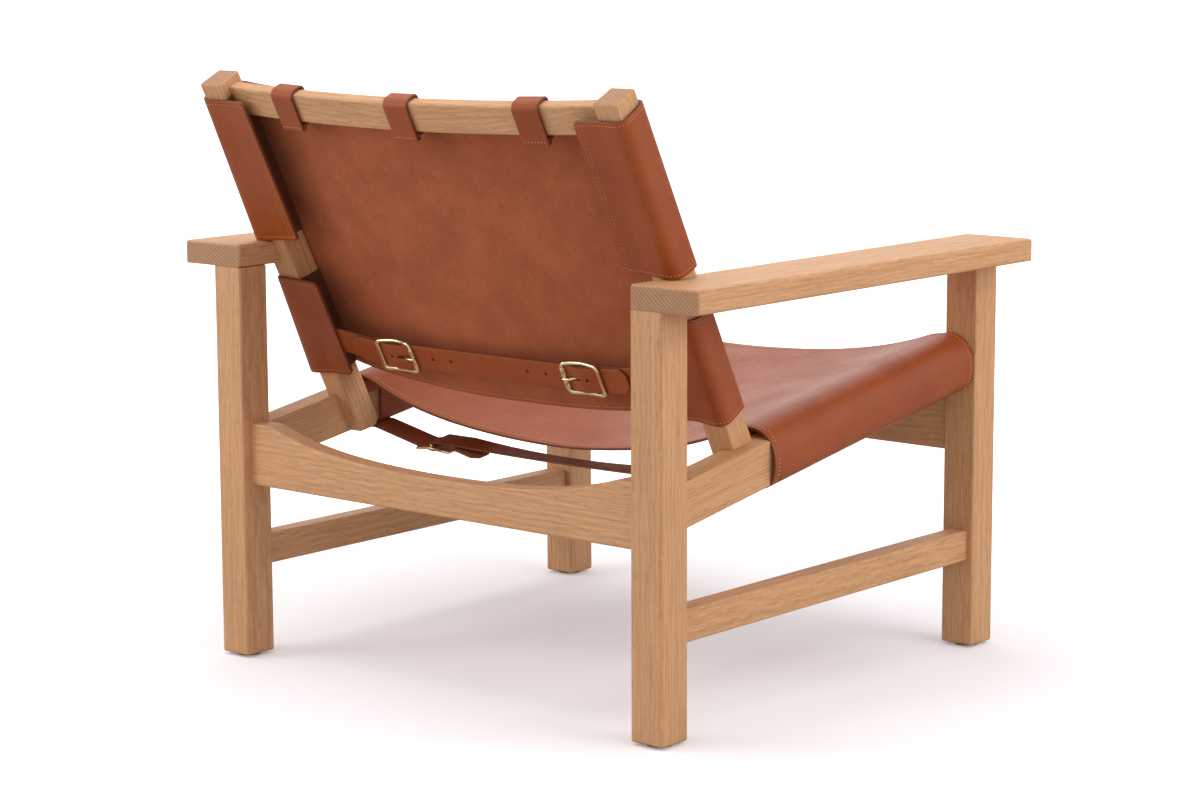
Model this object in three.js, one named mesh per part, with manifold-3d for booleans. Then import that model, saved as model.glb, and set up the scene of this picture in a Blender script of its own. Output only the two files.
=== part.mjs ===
// Leather sling lounge chair: an oak frame with mortise and tenon joints, a seat sling sleeved over
// two sloping rails, and a back sling sleeved over two leaning posts, drawn tight by buckled straps.
// Millimetres, +Z up. The sitter faces -Y, and right and left are the sitter's own.
import * as THREE from 'three';
import { mergeVertices } from 'three/addons/utils/BufferGeometryUtils.js';
import Module from 'manifold-3d';

const wasm = await Module();
wasm.setup();

// Frame
const FRAME_WIDTH = 700; // across the outer faces of the legs
const FRAME_DEPTH = 650; // across the front and rear faces of the legs
const LEG_SECTION = 45;
const ARM_HEIGHT = 510; // top of the arms above the floor
const ARM_THICKNESS = 28;
const ARM_WIDTH = 95;
const WOOD_EASE = 3; // rounding of the long edges
const JOINT_GAP = 0.3; // glue line, and clearance of every seat

// Cross rails, hollowed along the top
const CROSS_RAIL_THICKNESS = 27;
const CROSS_RAIL_RECESS = 13; // behind the legs' outer faces
const CROSS_RAIL_HEIGHT = 76; // at the ends
const CROSS_RAIL_HOLLOW = 32; // how far the top edge dips in the middle
const CROSS_RAIL_SHOULDER = 25; // level stretch beside each leg
const REAR_RAIL_BOTTOM = 215;
const FRONT_RAIL_BOTTOM = 245;

// Side rails
const SEAT_RAIL_THICKNESS = 36;
const SEAT_RAIL_HEIGHT = 52;
const SEAT_RAIL_REAR_TOP = 289; // at the rear legs
const SEAT_RAIL_FRONT_TOP = 381; // at the front legs
const STRETCHER_THICKNESS = 27;
const STRETCHER_HEIGHT = 38;
const STRETCHER_BOTTOM = 110;

// Tenons
const TENON_THICKNESS = 11;
const TENON_SHOULDER = 8; // bare wood above and below a tenon
const SIDE_TENON_LENGTH = 22;
const CROSS_TENON_LENGTH = 9;
const LEG_TENON_SECTION = 25;
const LEG_TENON_LENGTH = 16;
const POST_TENON_LENGTH = 11;

// Back
const BACK_LEAN = THREE.MathUtils.degToRad(27); // from the vertical
const POST_WIDTH = 34; // half of it laps the seat rail and the arm
const POST_DEPTH = 36;
const POST_HEAD = 226.5; // along the post, above the arm's top
const POST_SETBACK = 77; // centre line in front of the rear legs' rear faces, at the arm's top
const POST_FOOT_ROUND = 16; // front corner of the foot
const TOP_RAIL_HEIGHT = 37;
const TOP_RAIL_THICKNESS = 15;
const TOP_RAIL_TENON = 7;
const TOP_RAIL_BELOW_HEAD = 9.5;
const TOP_RAIL_SET_BACK = 13; // in front of the posts' rear faces
const TOP_RAIL_BOW = 17;
const DOWEL_DIAMETER = 10;
const DOWEL_DEPTH = 13; // into each of the two lapped pieces

// Leather
const HIDE = 3.5; // thickness of the slings
const HIDE_GAP = 0.5; // between a sling and the wood that it wraps
const HIDE_BEND = 4; // centre line radius at a folded corner
const SEAT_POST_GAP = 10; // seat sling's rear edge to the posts
const SEAT_FRONT_CLEARANCE = 2; // to the front legs
const SEAT_SAG = 44; // at the rear edge
const SEAT_FRONT_SAG = 35;
const SEAT_FLAP_POST_GAP = 12; // inner flap to the posts' feet
const SEAT_FLAP_TOP_GAP = 9; // bare rail between the flap and the sling above it
const BACK_BELOW_HEAD = 17.5; // bare post above the back sling
const BACK_TOP_DIP = 8; // in the middle of its upper edge
const BACK_BELOW_ARM = 180; // along the posts, to the lower edge at the sides
const BACK_BOTTOM_DROP = 24; // more in the middle
const BACK_FLAP = 32; // reach of a rear flap past the post
const SLEEVE_ARM_GAP = 3; // upper sleeve above the arm
const SLEEVE_UNDER_ARM_GAP = 19;
const SLEEVE_CUT_INSET = 5; // the hide stops this far inside the arm's inner edge
const LOOP_WIDTH = 36;
const LOOP_HIDE = 3;
const LOOP_SPACING = 188;
const LOOP_FOOT = 10; // below the rail
const LOOP_LAP = 5.5; // where its two ends are sewn together

// Straps and buckles
const STRAP_WIDTH = 34;
const STRAP_HIDE = 3;
const FOLD_HIDE = 2.5; // skived end that turns round a centre bar
const FOLD_RETURN = 38;
const BACK_TAIL = 80; // past the centre bar
const SEAT_TAIL = 72;
const TAIL_DROOP = 8; // of the tails that hang below the seat
const BACK_STRAP_BELOW_ARM = 143; // along the posts
const BACK_STRAP_DEPTH = 14; // behind the posts' centre lines
const BACK_BUCKLE_LEFT_INSET = 92; // centre bar from the edge of the lower flap
const BACK_BUCKLE_RIGHT_INSET = 124;
const SEAT_STRAP_INSET = 28; // from the seat sling's rear edge
const SEAT_STRAP_FRONT_INSET = 50; // from its front edge, clear of the front rail
const SEAT_STRAP_DROP = 79; // below the rail tops, square to the slope
const SEAT_BUCKLE_INSET = 100; // centre bar from the rail
const STRAP_LAP = 34; // sewn under the sleeve
const BUCKLE_LENGTH = 54;
const BUCKLE_WIDTH = 43;
const BUCKLE_WIRE = 4;
const BUCKLE_ARCH = 6; // end bars above the centre bar
const PRONG_THICKNESS = 3;
const PRONG_EYE_WALL = 1.7;
const PRONG_PLAY = 0.25; // between the eye and the bar
const PRONG_OVERHANG = 3; // past the end bar
const PRONG_SLOT_WIDTH = 5;
const PRONG_SLOT_NEAR = 2.5; // slot in the strap, measured from the centre bar
const PRONG_SLOT_FAR = 19;

// Glides
const GLIDE_HEIGHT = 3;
const GLIDE_DIAMETER = 32;
const GLIDE_CHAMFER = 1;

// Facets
const ARC_SEGMENTS = 2;
const CURVE_SEGMENTS = 12;
const BEND_STEPS = 4;
const SAG_STEPS = 20;
const ROUND_SIDES = 16;

// Places that follow from the sizes above
const innerX = FRAME_WIDTH / 2 - LEG_SECTION; // the plane shared by legs, arms and seat rails
const legX = FRAME_WIDTH / 2 - LEG_SECTION / 2;
const legY = FRAME_DEPTH / 2 - LEG_SECTION / 2;
const legInnerY = FRAME_DEPTH / 2 - LEG_SECTION;
const legTop = ARM_HEIGHT - ARM_THICKNESS;
const seatRailX = innerX + SEAT_RAIL_THICKNESS / 2;
const seatSlope = (SEAT_RAIL_FRONT_TOP - SEAT_RAIL_REAR_TOP) / (2 * legInnerY);
const seatAngle = Math.atan(seatSlope);
const seatTopAt = (y) => SEAT_RAIL_REAR_TOP + seatSlope * (legInnerY - y);
const seatRailDrop = SEAT_RAIL_HEIGHT / Math.cos(seatAngle); // rail height measured upright
const postAtArm = FRAME_DEPTH / 2 - POST_SETBACK;
const postHalf = POST_DEPTH / 2;
const postInnerX = innerX - POST_WIDTH / 2;
const postOuterX = innerX + POST_WIDTH / 2;
const railTop = POST_HEAD - TOP_RAIL_BELOW_HEAD;
const railBottom = railTop - TOP_RAIL_HEIGHT;
const railRear = postHalf - TOP_RAIL_SET_BACK;
const railFront = railRear - TOP_RAIL_THICKNESS;
const bowAt = (x) => TOP_RAIL_BOW * (1 - (x / postInnerX) ** 2);

const oak = new THREE.MeshStandardMaterial({ color: 0xcfa274, roughness: 0.55, metalness: 0 });
const leather = new THREE.MeshStandardMaterial({ color: 0x9c502b, roughness: 0.42, metalness: 0 });
const brass = new THREE.MeshStandardMaterial({ color: 0xd2ad66, roughness: 0.28, metalness: 1 });
const glidePlastic = new THREE.MeshStandardMaterial({ color: 0x4a4038, roughness: 0.8, metalness: 0 });

// Solids: joining and cutting

function solidOf(geometry) {
  const bare = geometry.clone();
  bare.deleteAttribute('normal');
  bare.deleteAttribute('uv');
  const merged = mergeVertices(bare, 1e-4);
  const mesh = new wasm.Mesh({
    numProp: 3,
    vertProperties: new Float32Array(merged.attributes.position.array),
    triVerts: new Uint32Array(merged.index.array),
  });
  return new wasm.Manifold(mesh);
}

function geometryOf(solid) {
  const mesh = solid.getMesh();
  const geometry = new THREE.BufferGeometry();
  geometry.setAttribute('position', new THREE.BufferAttribute(mesh.vertProperties.slice(), 3));
  geometry.setIndex(new THREE.BufferAttribute(mesh.triVerts.slice(), 1));
  return geometry;
}

const joined = (base, others) => others.reduce((sum, other) => sum.add(solidOf(other)), base);
const cut = (base, others) => others.reduce((rest, other) => rest.subtract(solidOf(other)), base);

// Forms

// A box between two corners.
function block([x0, x1], [y0, y1], [z0, z1]) {
  const box = new THREE.BoxGeometry(x1 - x0, y1 - y0, z1 - z0);
  return box.translate((x0 + x1) / 2, (y0 + y1) / 2, (z0 + z1) / 2);
}

// A span centred on a value.
const about = (centre, width) => [centre - width / 2, centre + width / 2];

// A box with eased edges. Its upright corners are a little rounder than its ends.
function easedBlock([x0, x1], [y0, y1], [z0, z1], ease = WOOD_EASE) {
  const corner = ease * 1.25;
  const outline = new THREE.Shape();
  outline.absarc(x1 - corner, y1 - corner, corner, 0, Math.PI / 2);
  outline.absarc(x0 + corner, y1 - corner, corner, Math.PI / 2, Math.PI);
  outline.absarc(x0 + corner, y0 + corner, corner, Math.PI, 1.5 * Math.PI);
  outline.absarc(x1 - corner, y0 + corner, corner, 1.5 * Math.PI, 2 * Math.PI);
  return extruded(outline, z1 - z0, ease).translate(0, 0, z0);
}

// An outline in X and Y, raised along Z, with its end edges eased if asked.
function extruded(outline, depth, ease = 0) {
  const geometry = new THREE.ExtrudeGeometry(outline, {
    depth: depth - 2 * ease,
    bevelEnabled: ease > 0,
    bevelThickness: ease,
    bevelSize: ease,
    bevelOffset: -ease,
    bevelSegments: ARC_SEGMENTS,
    curveSegments: ease > 0 ? ARC_SEGMENTS : CURVE_SEGMENTS,
  });
  return geometry.translate(0, 0, ease);
}

// An outline drawn in X and Z, running along Y from y0 to y1.
function alongY(outline, [y0, y1], ease = 0, segments = CURVE_SEGMENTS) {
  const geometry = new THREE.ExtrudeGeometry(outline, {
    depth: y1 - y0 - 2 * ease,
    bevelEnabled: ease > 0,
    bevelThickness: ease,
    bevelSize: ease,
    bevelOffset: -ease,
    bevelSegments: 1,
    curveSegments: segments,
  });
  return geometry.rotateX(Math.PI / 2).translate(0, y1 - ease, 0);
}

// An outline drawn in Y and Z, running along X from x0 to x1.
function alongX(outline, [x0, x1], ease = 0) {
  const geometry = new THREE.ExtrudeGeometry(outline, {
    depth: x1 - x0 - 2 * ease,
    bevelEnabled: ease > 0,
    bevelThickness: ease,
    bevelSize: ease,
    bevelOffset: -ease,
    bevelSegments: 1,
    curveSegments: CURVE_SEGMENTS,
  });
  return geometry.rotateX(Math.PI / 2).rotateZ(Math.PI / 2).translate(x0 + ease, 0, 0);
}

const polygon = (corners) => new THREE.Shape(corners.map(([a, b]) => new THREE.Vector2(a, b)));

// Points of an arc about a centre, from one angle to another, both in degrees.
function bend([cx, cy], radius, from, to) {
  const points = [];
  for (let i = 0; i <= BEND_STEPS; i += 1) {
    const angle = THREE.MathUtils.degToRad(from + ((to - from) * i) / BEND_STEPS);
    points.push([cx + radius * Math.cos(angle), cy + radius * Math.sin(angle)]);
  }
  return points;
}

// The outline of a strip of even thickness along a centre line.
function strip(line, thickness) {
  const points = line.map(([a, b]) => new THREE.Vector2(a, b));
  const left = [];
  const right = [];
  points.forEach((point, i) => {
    const before = points[Math.max(i - 1, 0)];
    const after = points[Math.min(i + 1, points.length - 1)];
    const into = point.clone().sub(before).normalize();
    const out = after.clone().sub(point).normalize();
    const along = into.clone().add(out).normalize();
    const turn = Math.max(along.dot(i === 0 ? out : into), 0.5);
    const side = new THREE.Vector2(-along.y, along.x).multiplyScalar(thickness / 2 / turn);
    left.push(point.clone().add(side));
    right.push(point.clone().sub(side));
  });
  return new THREE.Shape([...left, ...right.reverse()]);
}

// Frames of reference

const chair = new THREE.Group();

function add(parent, name, geometry, material) {
  const mesh = new THREE.Mesh(geometry, material);
  mesh.name = name;
  parent.add(mesh);
  return mesh;
}

// The back leans about the line where the posts' centre lines pass the tops of the arms. In its
// frame X runs across, Y squarely to the rear and Z up along the posts.
function leaningGroup(parent) {
  const group = new THREE.Group();
  group.position.set(0, postAtArm, ARM_HEIGHT);
  group.rotation.x = -BACK_LEAN;
  group.updateMatrix();
  parent.add(group);
  return group;
}

const back = leaningGroup(chair);
const fromBack = back.matrix.clone();
const toBack = back.matrix.clone().invert();

// Oak frame

const crossTenonY = (y) => about(y, TENON_THICKNESS);
const crossRailY = FRAME_DEPTH / 2 - CROSS_RAIL_RECESS - CROSS_RAIL_THICKNESS / 2;
const legTenonHole = LEG_TENON_SECTION + 2 * JOINT_GAP;

// Tenons, named for the piece that carries them, grown by a clearance for their mortises.
function crossTenon(sign, front, grow = 0) {
  const bottom = front ? FRONT_RAIL_BOTTOM : REAR_RAIL_BOTTOM;
  const y = front ? -crossRailY : crossRailY;
  const xs = [innerX - 2 * JOINT_GAP - TENON_SHOULDER, innerX + CROSS_TENON_LENGTH + grow];
  const height = CROSS_RAIL_HEIGHT - 2 * TENON_SHOULDER + 2 * grow;
  return block(
    sign > 0 ? xs : [-xs[1], -xs[0]],
    crossTenonY(y).map((v, i) => v + (i ? grow : -grow)),
    about(bottom + CROSS_RAIL_HEIGHT / 2, height),
  );
}

function sideTenon(x, front, middle, height, grow = 0) {
  const end = legInnerY + SIDE_TENON_LENGTH + grow;
  const start = legInnerY - JOINT_GAP - TENON_SHOULDER;
  return block(
    about(x, TENON_THICKNESS + 2 * grow),
    front ? [-end, -start] : [start, end],
    about(middle, height + 2 * grow),
  );
}

const seatTenonHeight = SEAT_RAIL_HEIGHT - 2 * TENON_SHOULDER;
const seatTenonMiddle = (front) => seatTopAt(front ? -legInnerY : legInnerY) - seatRailDrop / 2;
const stretcherTenonHeight = STRETCHER_HEIGHT - 2 * TENON_SHOULDER;
const stretcherMiddle = STRETCHER_BOTTOM + STRETCHER_HEIGHT / 2;

const seatTenon = (front, grow) =>
  sideTenon(seatRailX, front, seatTenonMiddle(front), seatTenonHeight, grow);
const stretcherTenon = (front, grow) =>
  sideTenon(legX, front, stretcherMiddle, stretcherTenonHeight, grow);

function legGeometry(front) {
  const y = front ? -legY : legY;
  const shaft = easedBlock(about(legX, LEG_SECTION), about(y, LEG_SECTION), [GLIDE_HEIGHT, legTop]);
  const tenon = block(
    about(legX, LEG_TENON_SECTION),
    about(y, LEG_TENON_SECTION),
    [legTop - LEG_TENON_SECTION, legTop + LEG_TENON_LENGTH],
  );
  const mortises = [
    crossTenon(1, front, JOINT_GAP),
    seatTenon(front, JOINT_GAP),
    stretcherTenon(front, JOINT_GAP),
  ];
  return geometryOf(cut(joined(solidOf(shaft), [tenon]), mortises));
}

// The leaning shaft of a post, left side, in the frame of the back.
const postShaft = (grow = 0) =>
  easedBlock(
    [postInnerX - grow, postOuterX + grow],
    [-postHalf - grow, postHalf + grow],
    [-POST_HEAD - 2 * SEAT_RAIL_HEIGHT, POST_HEAD],
  );

const dowelLength = 2 * DOWEL_DEPTH;

// A dowel across a joint's plane, at a place along the posts in the frame of the back.
function dowel(x, s, grow = 0) {
  const radius = DOWEL_DIAMETER / 2 + grow;
  const peg = new THREE.CylinderGeometry(radius, radius, dowelLength + 2 * grow, ROUND_SIDES);
  return peg.rotateZ(Math.PI / 2).translate(x, 0, s);
}

// Where a line under the seat rail's top crosses a line along the posts, in the frame of the back.
function crossingOf(drop, t = 0) {
  const rise = ARM_HEIGHT + drop - seatTopAt(postAtArm);
  const turn = Math.sin(BACK_LEAN) - seatSlope * Math.cos(BACK_LEAN);
  return (t * turn - rise) / (Math.cos(BACK_LEAN) + seatSlope * Math.sin(BACK_LEAN));
}

const footTop = crossingOf(0);
const footBottom = crossingOf(seatRailDrop);
const footDowels = [0.3, 0.7].map((share) => footTop + (footBottom - footTop) * share);
const armDowel = -ARM_THICKNESS / 2 / Math.cos(BACK_LEAN);

// Everything below a line parallel to the seat rail's top, in the frame of the back, with the front
// corner of the post rounded off.
function belowRail(xs, drop, round) {
  const over = 2 * postHalf;
  const low = -2 * POST_HEAD;
  const front = crossingOf(drop, -postHalf);
  const profile = new THREE.Shape();
  profile.moveTo(-over, low);
  profile.lineTo(over, low);
  profile.lineTo(over, crossingOf(drop, over));
  profile.lineTo(round - postHalf, crossingOf(drop, round - postHalf));
  profile.quadraticCurveTo(-postHalf, front, -postHalf, front + round);
  profile.lineTo(-over, front + round);
  return alongX(profile, xs);
}

function postGeometry() {
  const trims = [
    belowRail([innerX - JOINT_GAP, FRAME_WIDTH], -JOINT_GAP, 0),
    belowRail([0, innerX], seatRailDrop, POST_FOOT_ROUND),
    topRailTenon(JOINT_GAP),
    ...footDowels.map((s) => dowel(innerX, s, JOINT_GAP)),
    dowel(postOuterX, armDowel, JOINT_GAP),
  ];
  return geometryOf(cut(solidOf(postShaft()), trims));
}

function armGeometry() {
  const board = easedBlock(
    [innerX, innerX + ARM_WIDTH],
    [-FRAME_DEPTH / 2, FRAME_DEPTH / 2],
    [legTop + JOINT_GAP, ARM_HEIGHT],
  );
  const mortises = [-legY, legY].map((y) =>
    block(
      about(legX, legTenonHole),
      about(y, legTenonHole),
      [legTop - JOINT_GAP, legTop + LEG_TENON_LENGTH + JOINT_GAP],
    ),
  );
  const notch = postShaft(JOINT_GAP).applyMatrix4(fromBack);
  const dowelHole = dowel(postOuterX, armDowel, JOINT_GAP).applyMatrix4(fromBack);
  return geometryOf(cut(solidOf(board), [...mortises, notch, dowelHole]));
}

function seatRailGeometry() {
  const end = legInnerY - JOINT_GAP;
  const profile = polygon([
    [end, seatTopAt(end)],
    [-end, seatTopAt(-end)],
    [-end, seatTopAt(-end) - seatRailDrop],
    [end, seatTopAt(end) - seatRailDrop],
  ]);
  const bar = alongX(profile, about(seatRailX, SEAT_RAIL_THICKNESS), WOOD_EASE);
  const tenons = [seatTenon(true, 0), seatTenon(false, 0)];
  const holes = footDowels.map((s) => dowel(innerX, s, JOINT_GAP).applyMatrix4(fromBack));
  return geometryOf(cut(joined(solidOf(bar), tenons), holes));
}

function stretcherGeometry() {
  const end = legInnerY - JOINT_GAP;
  const bar = easedBlock(
    about(legX, STRETCHER_THICKNESS),
    [-end, end],
    [STRETCHER_BOTTOM, STRETCHER_BOTTOM + STRETCHER_HEIGHT],
  );
  return geometryOf(joined(solidOf(bar), [stretcherTenon(true, 0), stretcherTenon(false, 0)]));
}

// A cross rail: straight below, level beside the legs and hollowed between.
function crossRailGeometry(front) {
  const bottom = front ? FRONT_RAIL_BOTTOM : REAR_RAIL_BOTTOM;
  const y = front ? -crossRailY : crossRailY;
  const end = innerX - JOINT_GAP;
  const shoulder = end - CROSS_RAIL_SHOULDER;
  const top = bottom + CROSS_RAIL_HEIGHT;
  const low = top - CROSS_RAIL_HOLLOW;
  const crest = shoulder * 0.93;
  const dip = shoulder * 0.8;
  const outline = new THREE.Shape();
  outline.moveTo(-end, bottom);
  outline.lineTo(end, bottom);
  outline.lineTo(end, top);
  outline.lineTo(shoulder, top);
  outline.bezierCurveTo(crest, top, dip, low, 0, low);
  outline.bezierCurveTo(-dip, low, -crest, top, -shoulder, top);
  outline.lineTo(-end, top);
  const bar = alongY(outline, about(y, CROSS_RAIL_THICKNESS), WOOD_EASE / 2);
  return geometryOf(joined(solidOf(bar), [crossTenon(1, front), crossTenon(-1, front)]));
}

// The top rail and its tenons, in the frame of the back.
const railMiddle = railRear - TOP_RAIL_THICKNESS / 2;

function topRailTenon(grow = 0, sign = 1) {
  const xs = [postInnerX - TENON_SHOULDER, postInnerX + POST_TENON_LENGTH + grow];
  return block(
    sign > 0 ? xs : [-xs[1], -xs[0]],
    about(railMiddle, TOP_RAIL_TENON + 2 * grow),
    about((railTop + railBottom) / 2, TOP_RAIL_HEIGHT - 2 * TENON_SHOULDER + 2 * grow),
  );
}

function topRailGeometry() {
  const end = postInnerX - JOINT_GAP;
  const outline = new THREE.Shape();
  outline.moveTo(-end, railFront);
  outline.quadraticCurveTo(0, railFront + 2 * TOP_RAIL_BOW, end, railFront);
  outline.lineTo(end, railRear);
  outline.quadraticCurveTo(0, railRear + 2 * TOP_RAIL_BOW, -end, railRear);
  const bar = new THREE.ExtrudeGeometry(outline, {
    depth: TOP_RAIL_HEIGHT - 2 * WOOD_EASE,
    bevelThickness: WOOD_EASE,
    bevelSize: WOOD_EASE,
    bevelOffset: -WOOD_EASE,
    bevelSegments: ARC_SEGMENTS,
    curveSegments: CURVE_SEGMENTS,
  });
  bar.translate(0, 0, railBottom + WOOD_EASE);
  return geometryOf(joined(solidOf(bar), [topRailTenon(0, 1), topRailTenon(0, -1)]));
}

function glideGeometry() {
  const radius = GLIDE_DIAMETER / 2;
  const profile = [
    [0, 0],
    [radius - GLIDE_CHAMFER, 0],
    [radius, GLIDE_CHAMFER],
    [radius, GLIDE_HEIGHT - JOINT_GAP / 3],
    [0, GLIDE_HEIGHT - JOINT_GAP / 3],
  ];
  const disc = new THREE.LatheGeometry(polygon(profile).getPoints(), ROUND_SIDES);
  return disc.rotateX(Math.PI / 2);
}

const sides = [
  ['left', 1],
  ['right', -1],
];

for (const [side, sign] of sides) {
  const half = new THREE.Group();
  half.scale.x = sign;
  chair.add(half);
  for (const front of [true, false]) {
    const end = front ? 'front' : 'rear';
    add(half, `leg_${end}_${side}`, legGeometry(front), oak);
    const glide = add(half, `glide_${end}_${side}`, glideGeometry(), glidePlastic);
    glide.position.set(legX, front ? -legY : legY, 0);
  }
  add(half, `armrest_${side}`, armGeometry(), oak);
  add(half, `seat_rail_${side}`, seatRailGeometry(), oak);
  add(half, `stretcher_${side}`, stretcherGeometry(), oak);
  const leaning = leaningGroup(half);
  add(leaning, `back_post_${side}`, postGeometry(), oak);
  footDowels.forEach((s, i) => {
    const end = i === 0 ? 'upper' : 'lower';
    add(leaning, `foot_dowel_${end}_${side}`, dowel(innerX, s), oak);
  });
  add(leaning, `arm_dowel_${side}`, dowel(postOuterX, armDowel), oak);
}

add(chair, 'rear_rail', crossRailGeometry(false), oak);
add(chair, 'front_rail', crossRailGeometry(true), oak);
add(back, 'back_top_rail', topRailGeometry(), oak);

// Slings

const hideOffset = HIDE_GAP + HIDE / 2; // from the wood to the middle of the hide

// Y of the front of the posts at a depth below the seat rails' tops.
function postFrontAt(drop) {
  const along = crossingOf(drop, -postHalf) * Math.sin(BACK_LEAN);
  return postAtArm - postHalf * Math.cos(BACK_LEAN) + along;
}

const seatRear = postFrontAt(0) - SEAT_POST_GAP;
const seatFront = -legInnerY + SEAT_FRONT_CLEARANCE;
const seatFlapRear = postFrontAt(seatRailDrop) - SEAT_FLAP_POST_GAP;
const backTop = POST_HEAD - BACK_BELOW_HEAD;
const flapEdge = postInnerX - BACK_FLAP;

const mirrored = (line) => line.map(([a, b]) => [-a, b]).reverse();

// A hollow between two rails, then three folds round the left rail. The line of the seat is given
// from the middle outwards, with the rail's top at zero.
function seatSection() {
  const top = hideOffset;
  const outer = seatRailX + SEAT_RAIL_THICKNESS / 2 + hideOffset;
  const inner = innerX - hideOffset;
  const bottom = -seatRailDrop - hideOffset;
  const line = [];
  for (let i = 1; i <= SAG_STEPS; i += 1) {
    const share = i / SAG_STEPS;
    line.push([inner * share, top - SEAT_SAG * (1 - share ** 2)]);
  }
  line.push(...bend([outer - HIDE_BEND, top - HIDE_BEND], HIDE_BEND, 90, 0));
  line.push(...bend([outer - HIDE_BEND, bottom + HIDE_BEND], HIDE_BEND, 0, -90));
  line.push(...bend([inner + HIDE_BEND, bottom + HIDE_BEND], HIDE_BEND, -90, -180));
  line.push([inner, -SEAT_FLAP_TOP_GAP]);
  return [...mirrored(line), [0, top - SEAT_SAG], ...line];
}

// Sets a level piece on the slope of the seat rails, measuring its height from their tops.
const ontoSlope = new THREE.Matrix4().set(
  1, 0, 0, 0,
  0, 1, 0, 0,
  0, -seatSlope, 1, seatTopAt(0),
  0, 0, 0, 1,
);

// Lifts the hollow of the seat evenly from its rear edge to its front edge.
function tightenedToFront(hide) {
  const places = hide.attributes.position;
  for (let i = 0; i < places.count; i += 1) {
    const forward = (seatRear - places.getY(i)) / (seatRear - seatFront);
    const hollow = Math.max(0, 1 - (places.getX(i) / (innerX - hideOffset)) ** 2);
    places.setZ(i, places.getZ(i) + (SEAT_SAG - SEAT_FRONT_SAG) * forward * hollow);
  }
  return hide;
}

function seatSlingGeometry() {
  const hide = tightenedToFront(alongY(strip(seatSection(), HIDE), [seatFront, seatRear]));
  const relief = [1, -1].map((sign) =>
    block(
      about(sign * innerX, 2 * HIDE_BEND + HIDE),
      [seatFlapRear, seatRear + HIDE],
      [-2 * SEAT_RAIL_HEIGHT, -SEAT_FLAP_TOP_GAP + HIDE],
    ),
  );
  return geometryOf(cut(solidOf(hide), relief)).applyMatrix4(ontoSlope);
}

// The back sling bows to the rear between the posts and folds round each one, to end in a flap.
function backSection() {
  const front = -postHalf - hideOffset;
  const outer = postOuterX + hideOffset;
  const rear = postHalf + hideOffset;
  const line = [];
  for (let i = 1; i <= SAG_STEPS; i += 1) {
    const x = (postInnerX * i) / SAG_STEPS;
    line.push([x, front + bowAt(x)]);
  }
  line.push(...bend([outer - HIDE_BEND, front + HIDE_BEND], HIDE_BEND, -90, 0));
  line.push(...bend([outer - HIDE_BEND, rear - HIDE_BEND], HIDE_BEND, 0, 90));
  line.push([flapEdge, rear]);
  return [...mirrored(line), [0, front + bowAt(0)], ...line];
}

function backSlingGeometry() {
  const reach = postOuterX + 2 * HIDE;
  const outline = new THREE.Shape();
  outline.moveTo(-reach, -BACK_BELOW_ARM);
  const low = -BACK_BELOW_ARM - (4 / 3) * BACK_BOTTOM_DROP;
  outline.bezierCurveTo(-0.75 * reach, low, 0.75 * reach, low, reach, -BACK_BELOW_ARM);
  outline.lineTo(reach, backTop);
  outline.lineTo(postInnerX, backTop);
  outline.quadraticCurveTo(0, backTop - 2 * BACK_TOP_DIP, -postInnerX, backTop);
  outline.lineTo(-reach, backTop);
  const length = 2 * POST_HEAD;
  const folded = extruded(strip(backSection(), HIDE), length).translate(0, 0, -length / 2);
  const trimmed = solidOf(folded).intersect(solidOf(alongY(outline, about(0, 2 * POST_DEPTH))));
  const gaps = [];
  for (const sign of [1, -1]) {
    const xs = (from) => about((sign * (from + reach)) / 2, reach - from);
    const level = [legTop - SLEEVE_UNDER_ARM_GAP, ARM_HEIGHT + SLEEVE_ARM_GAP];
    const acrossArm = (from) =>
      solidOf(block(xs(from), [0, FRAME_DEPTH], level).applyMatrix4(toBack));
    const behind = block([-reach, reach], [0, POST_DEPTH], about(0, length));
    gaps.push(acrossArm(innerX - SLEEVE_CUT_INSET));
    gaps.push(acrossArm(flapEdge - HIDE).intersect(solidOf(behind)));
  }
  return geometryOf(gaps.reduce((hide, gap) => hide.subtract(gap), trimmed));
}

// A closed loop over the top rail: up between rail and sling, over, and down to a foot where its ends
// are sewn together.
function loopGeometry() {
  const slingRear = -postHalf - HIDE_GAP;
  const front = (slingRear + railFront) / 2;
  const top = railTop + HIDE_GAP + LOOP_HIDE / 2;
  const rear = railRear + HIDE_GAP + LOOP_HIDE / 2;
  const inner = rear - LOOP_HIDE - JOINT_GAP;
  const foot = railBottom - LOOP_FOOT;
  const line = [
    [inner, foot],
    [inner, foot + LOOP_LAP],
    [front, railBottom - LOOP_HIDE],
    ...bend([front + HIDE_BEND, top - HIDE_BEND], HIDE_BEND, 180, 90),
    ...bend([rear - HIDE_BEND, top - HIDE_BEND], HIDE_BEND, 90, 0),
    [rear, foot],
  ];
  return alongX(strip(line, LOOP_HIDE), about(0, LOOP_WIDTH));
}

add(chair, 'seat_sling', seatSlingGeometry(), leather);
add(back, 'back_sling', backSlingGeometry(), leather);

const loops = [
  ['left', LOOP_SPACING],
  ['middle', 0],
  ['right', -LOOP_SPACING],
];

for (const [place, x] of loops) {
  const loop = add(back, `top_loop_${place}`, loopGeometry(), leather);
  loop.position.set(x, bowAt(x), 0);
  loop.rotation.z = Math.atan((-2 * TOP_RAIL_BOW * x) / postInnerX ** 2);
}

// Straps and buckles. A buckle has a frame of its own: X along the strap towards the free tail,
// Y across it, Z outwards, with the centre bar on Y.

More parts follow.
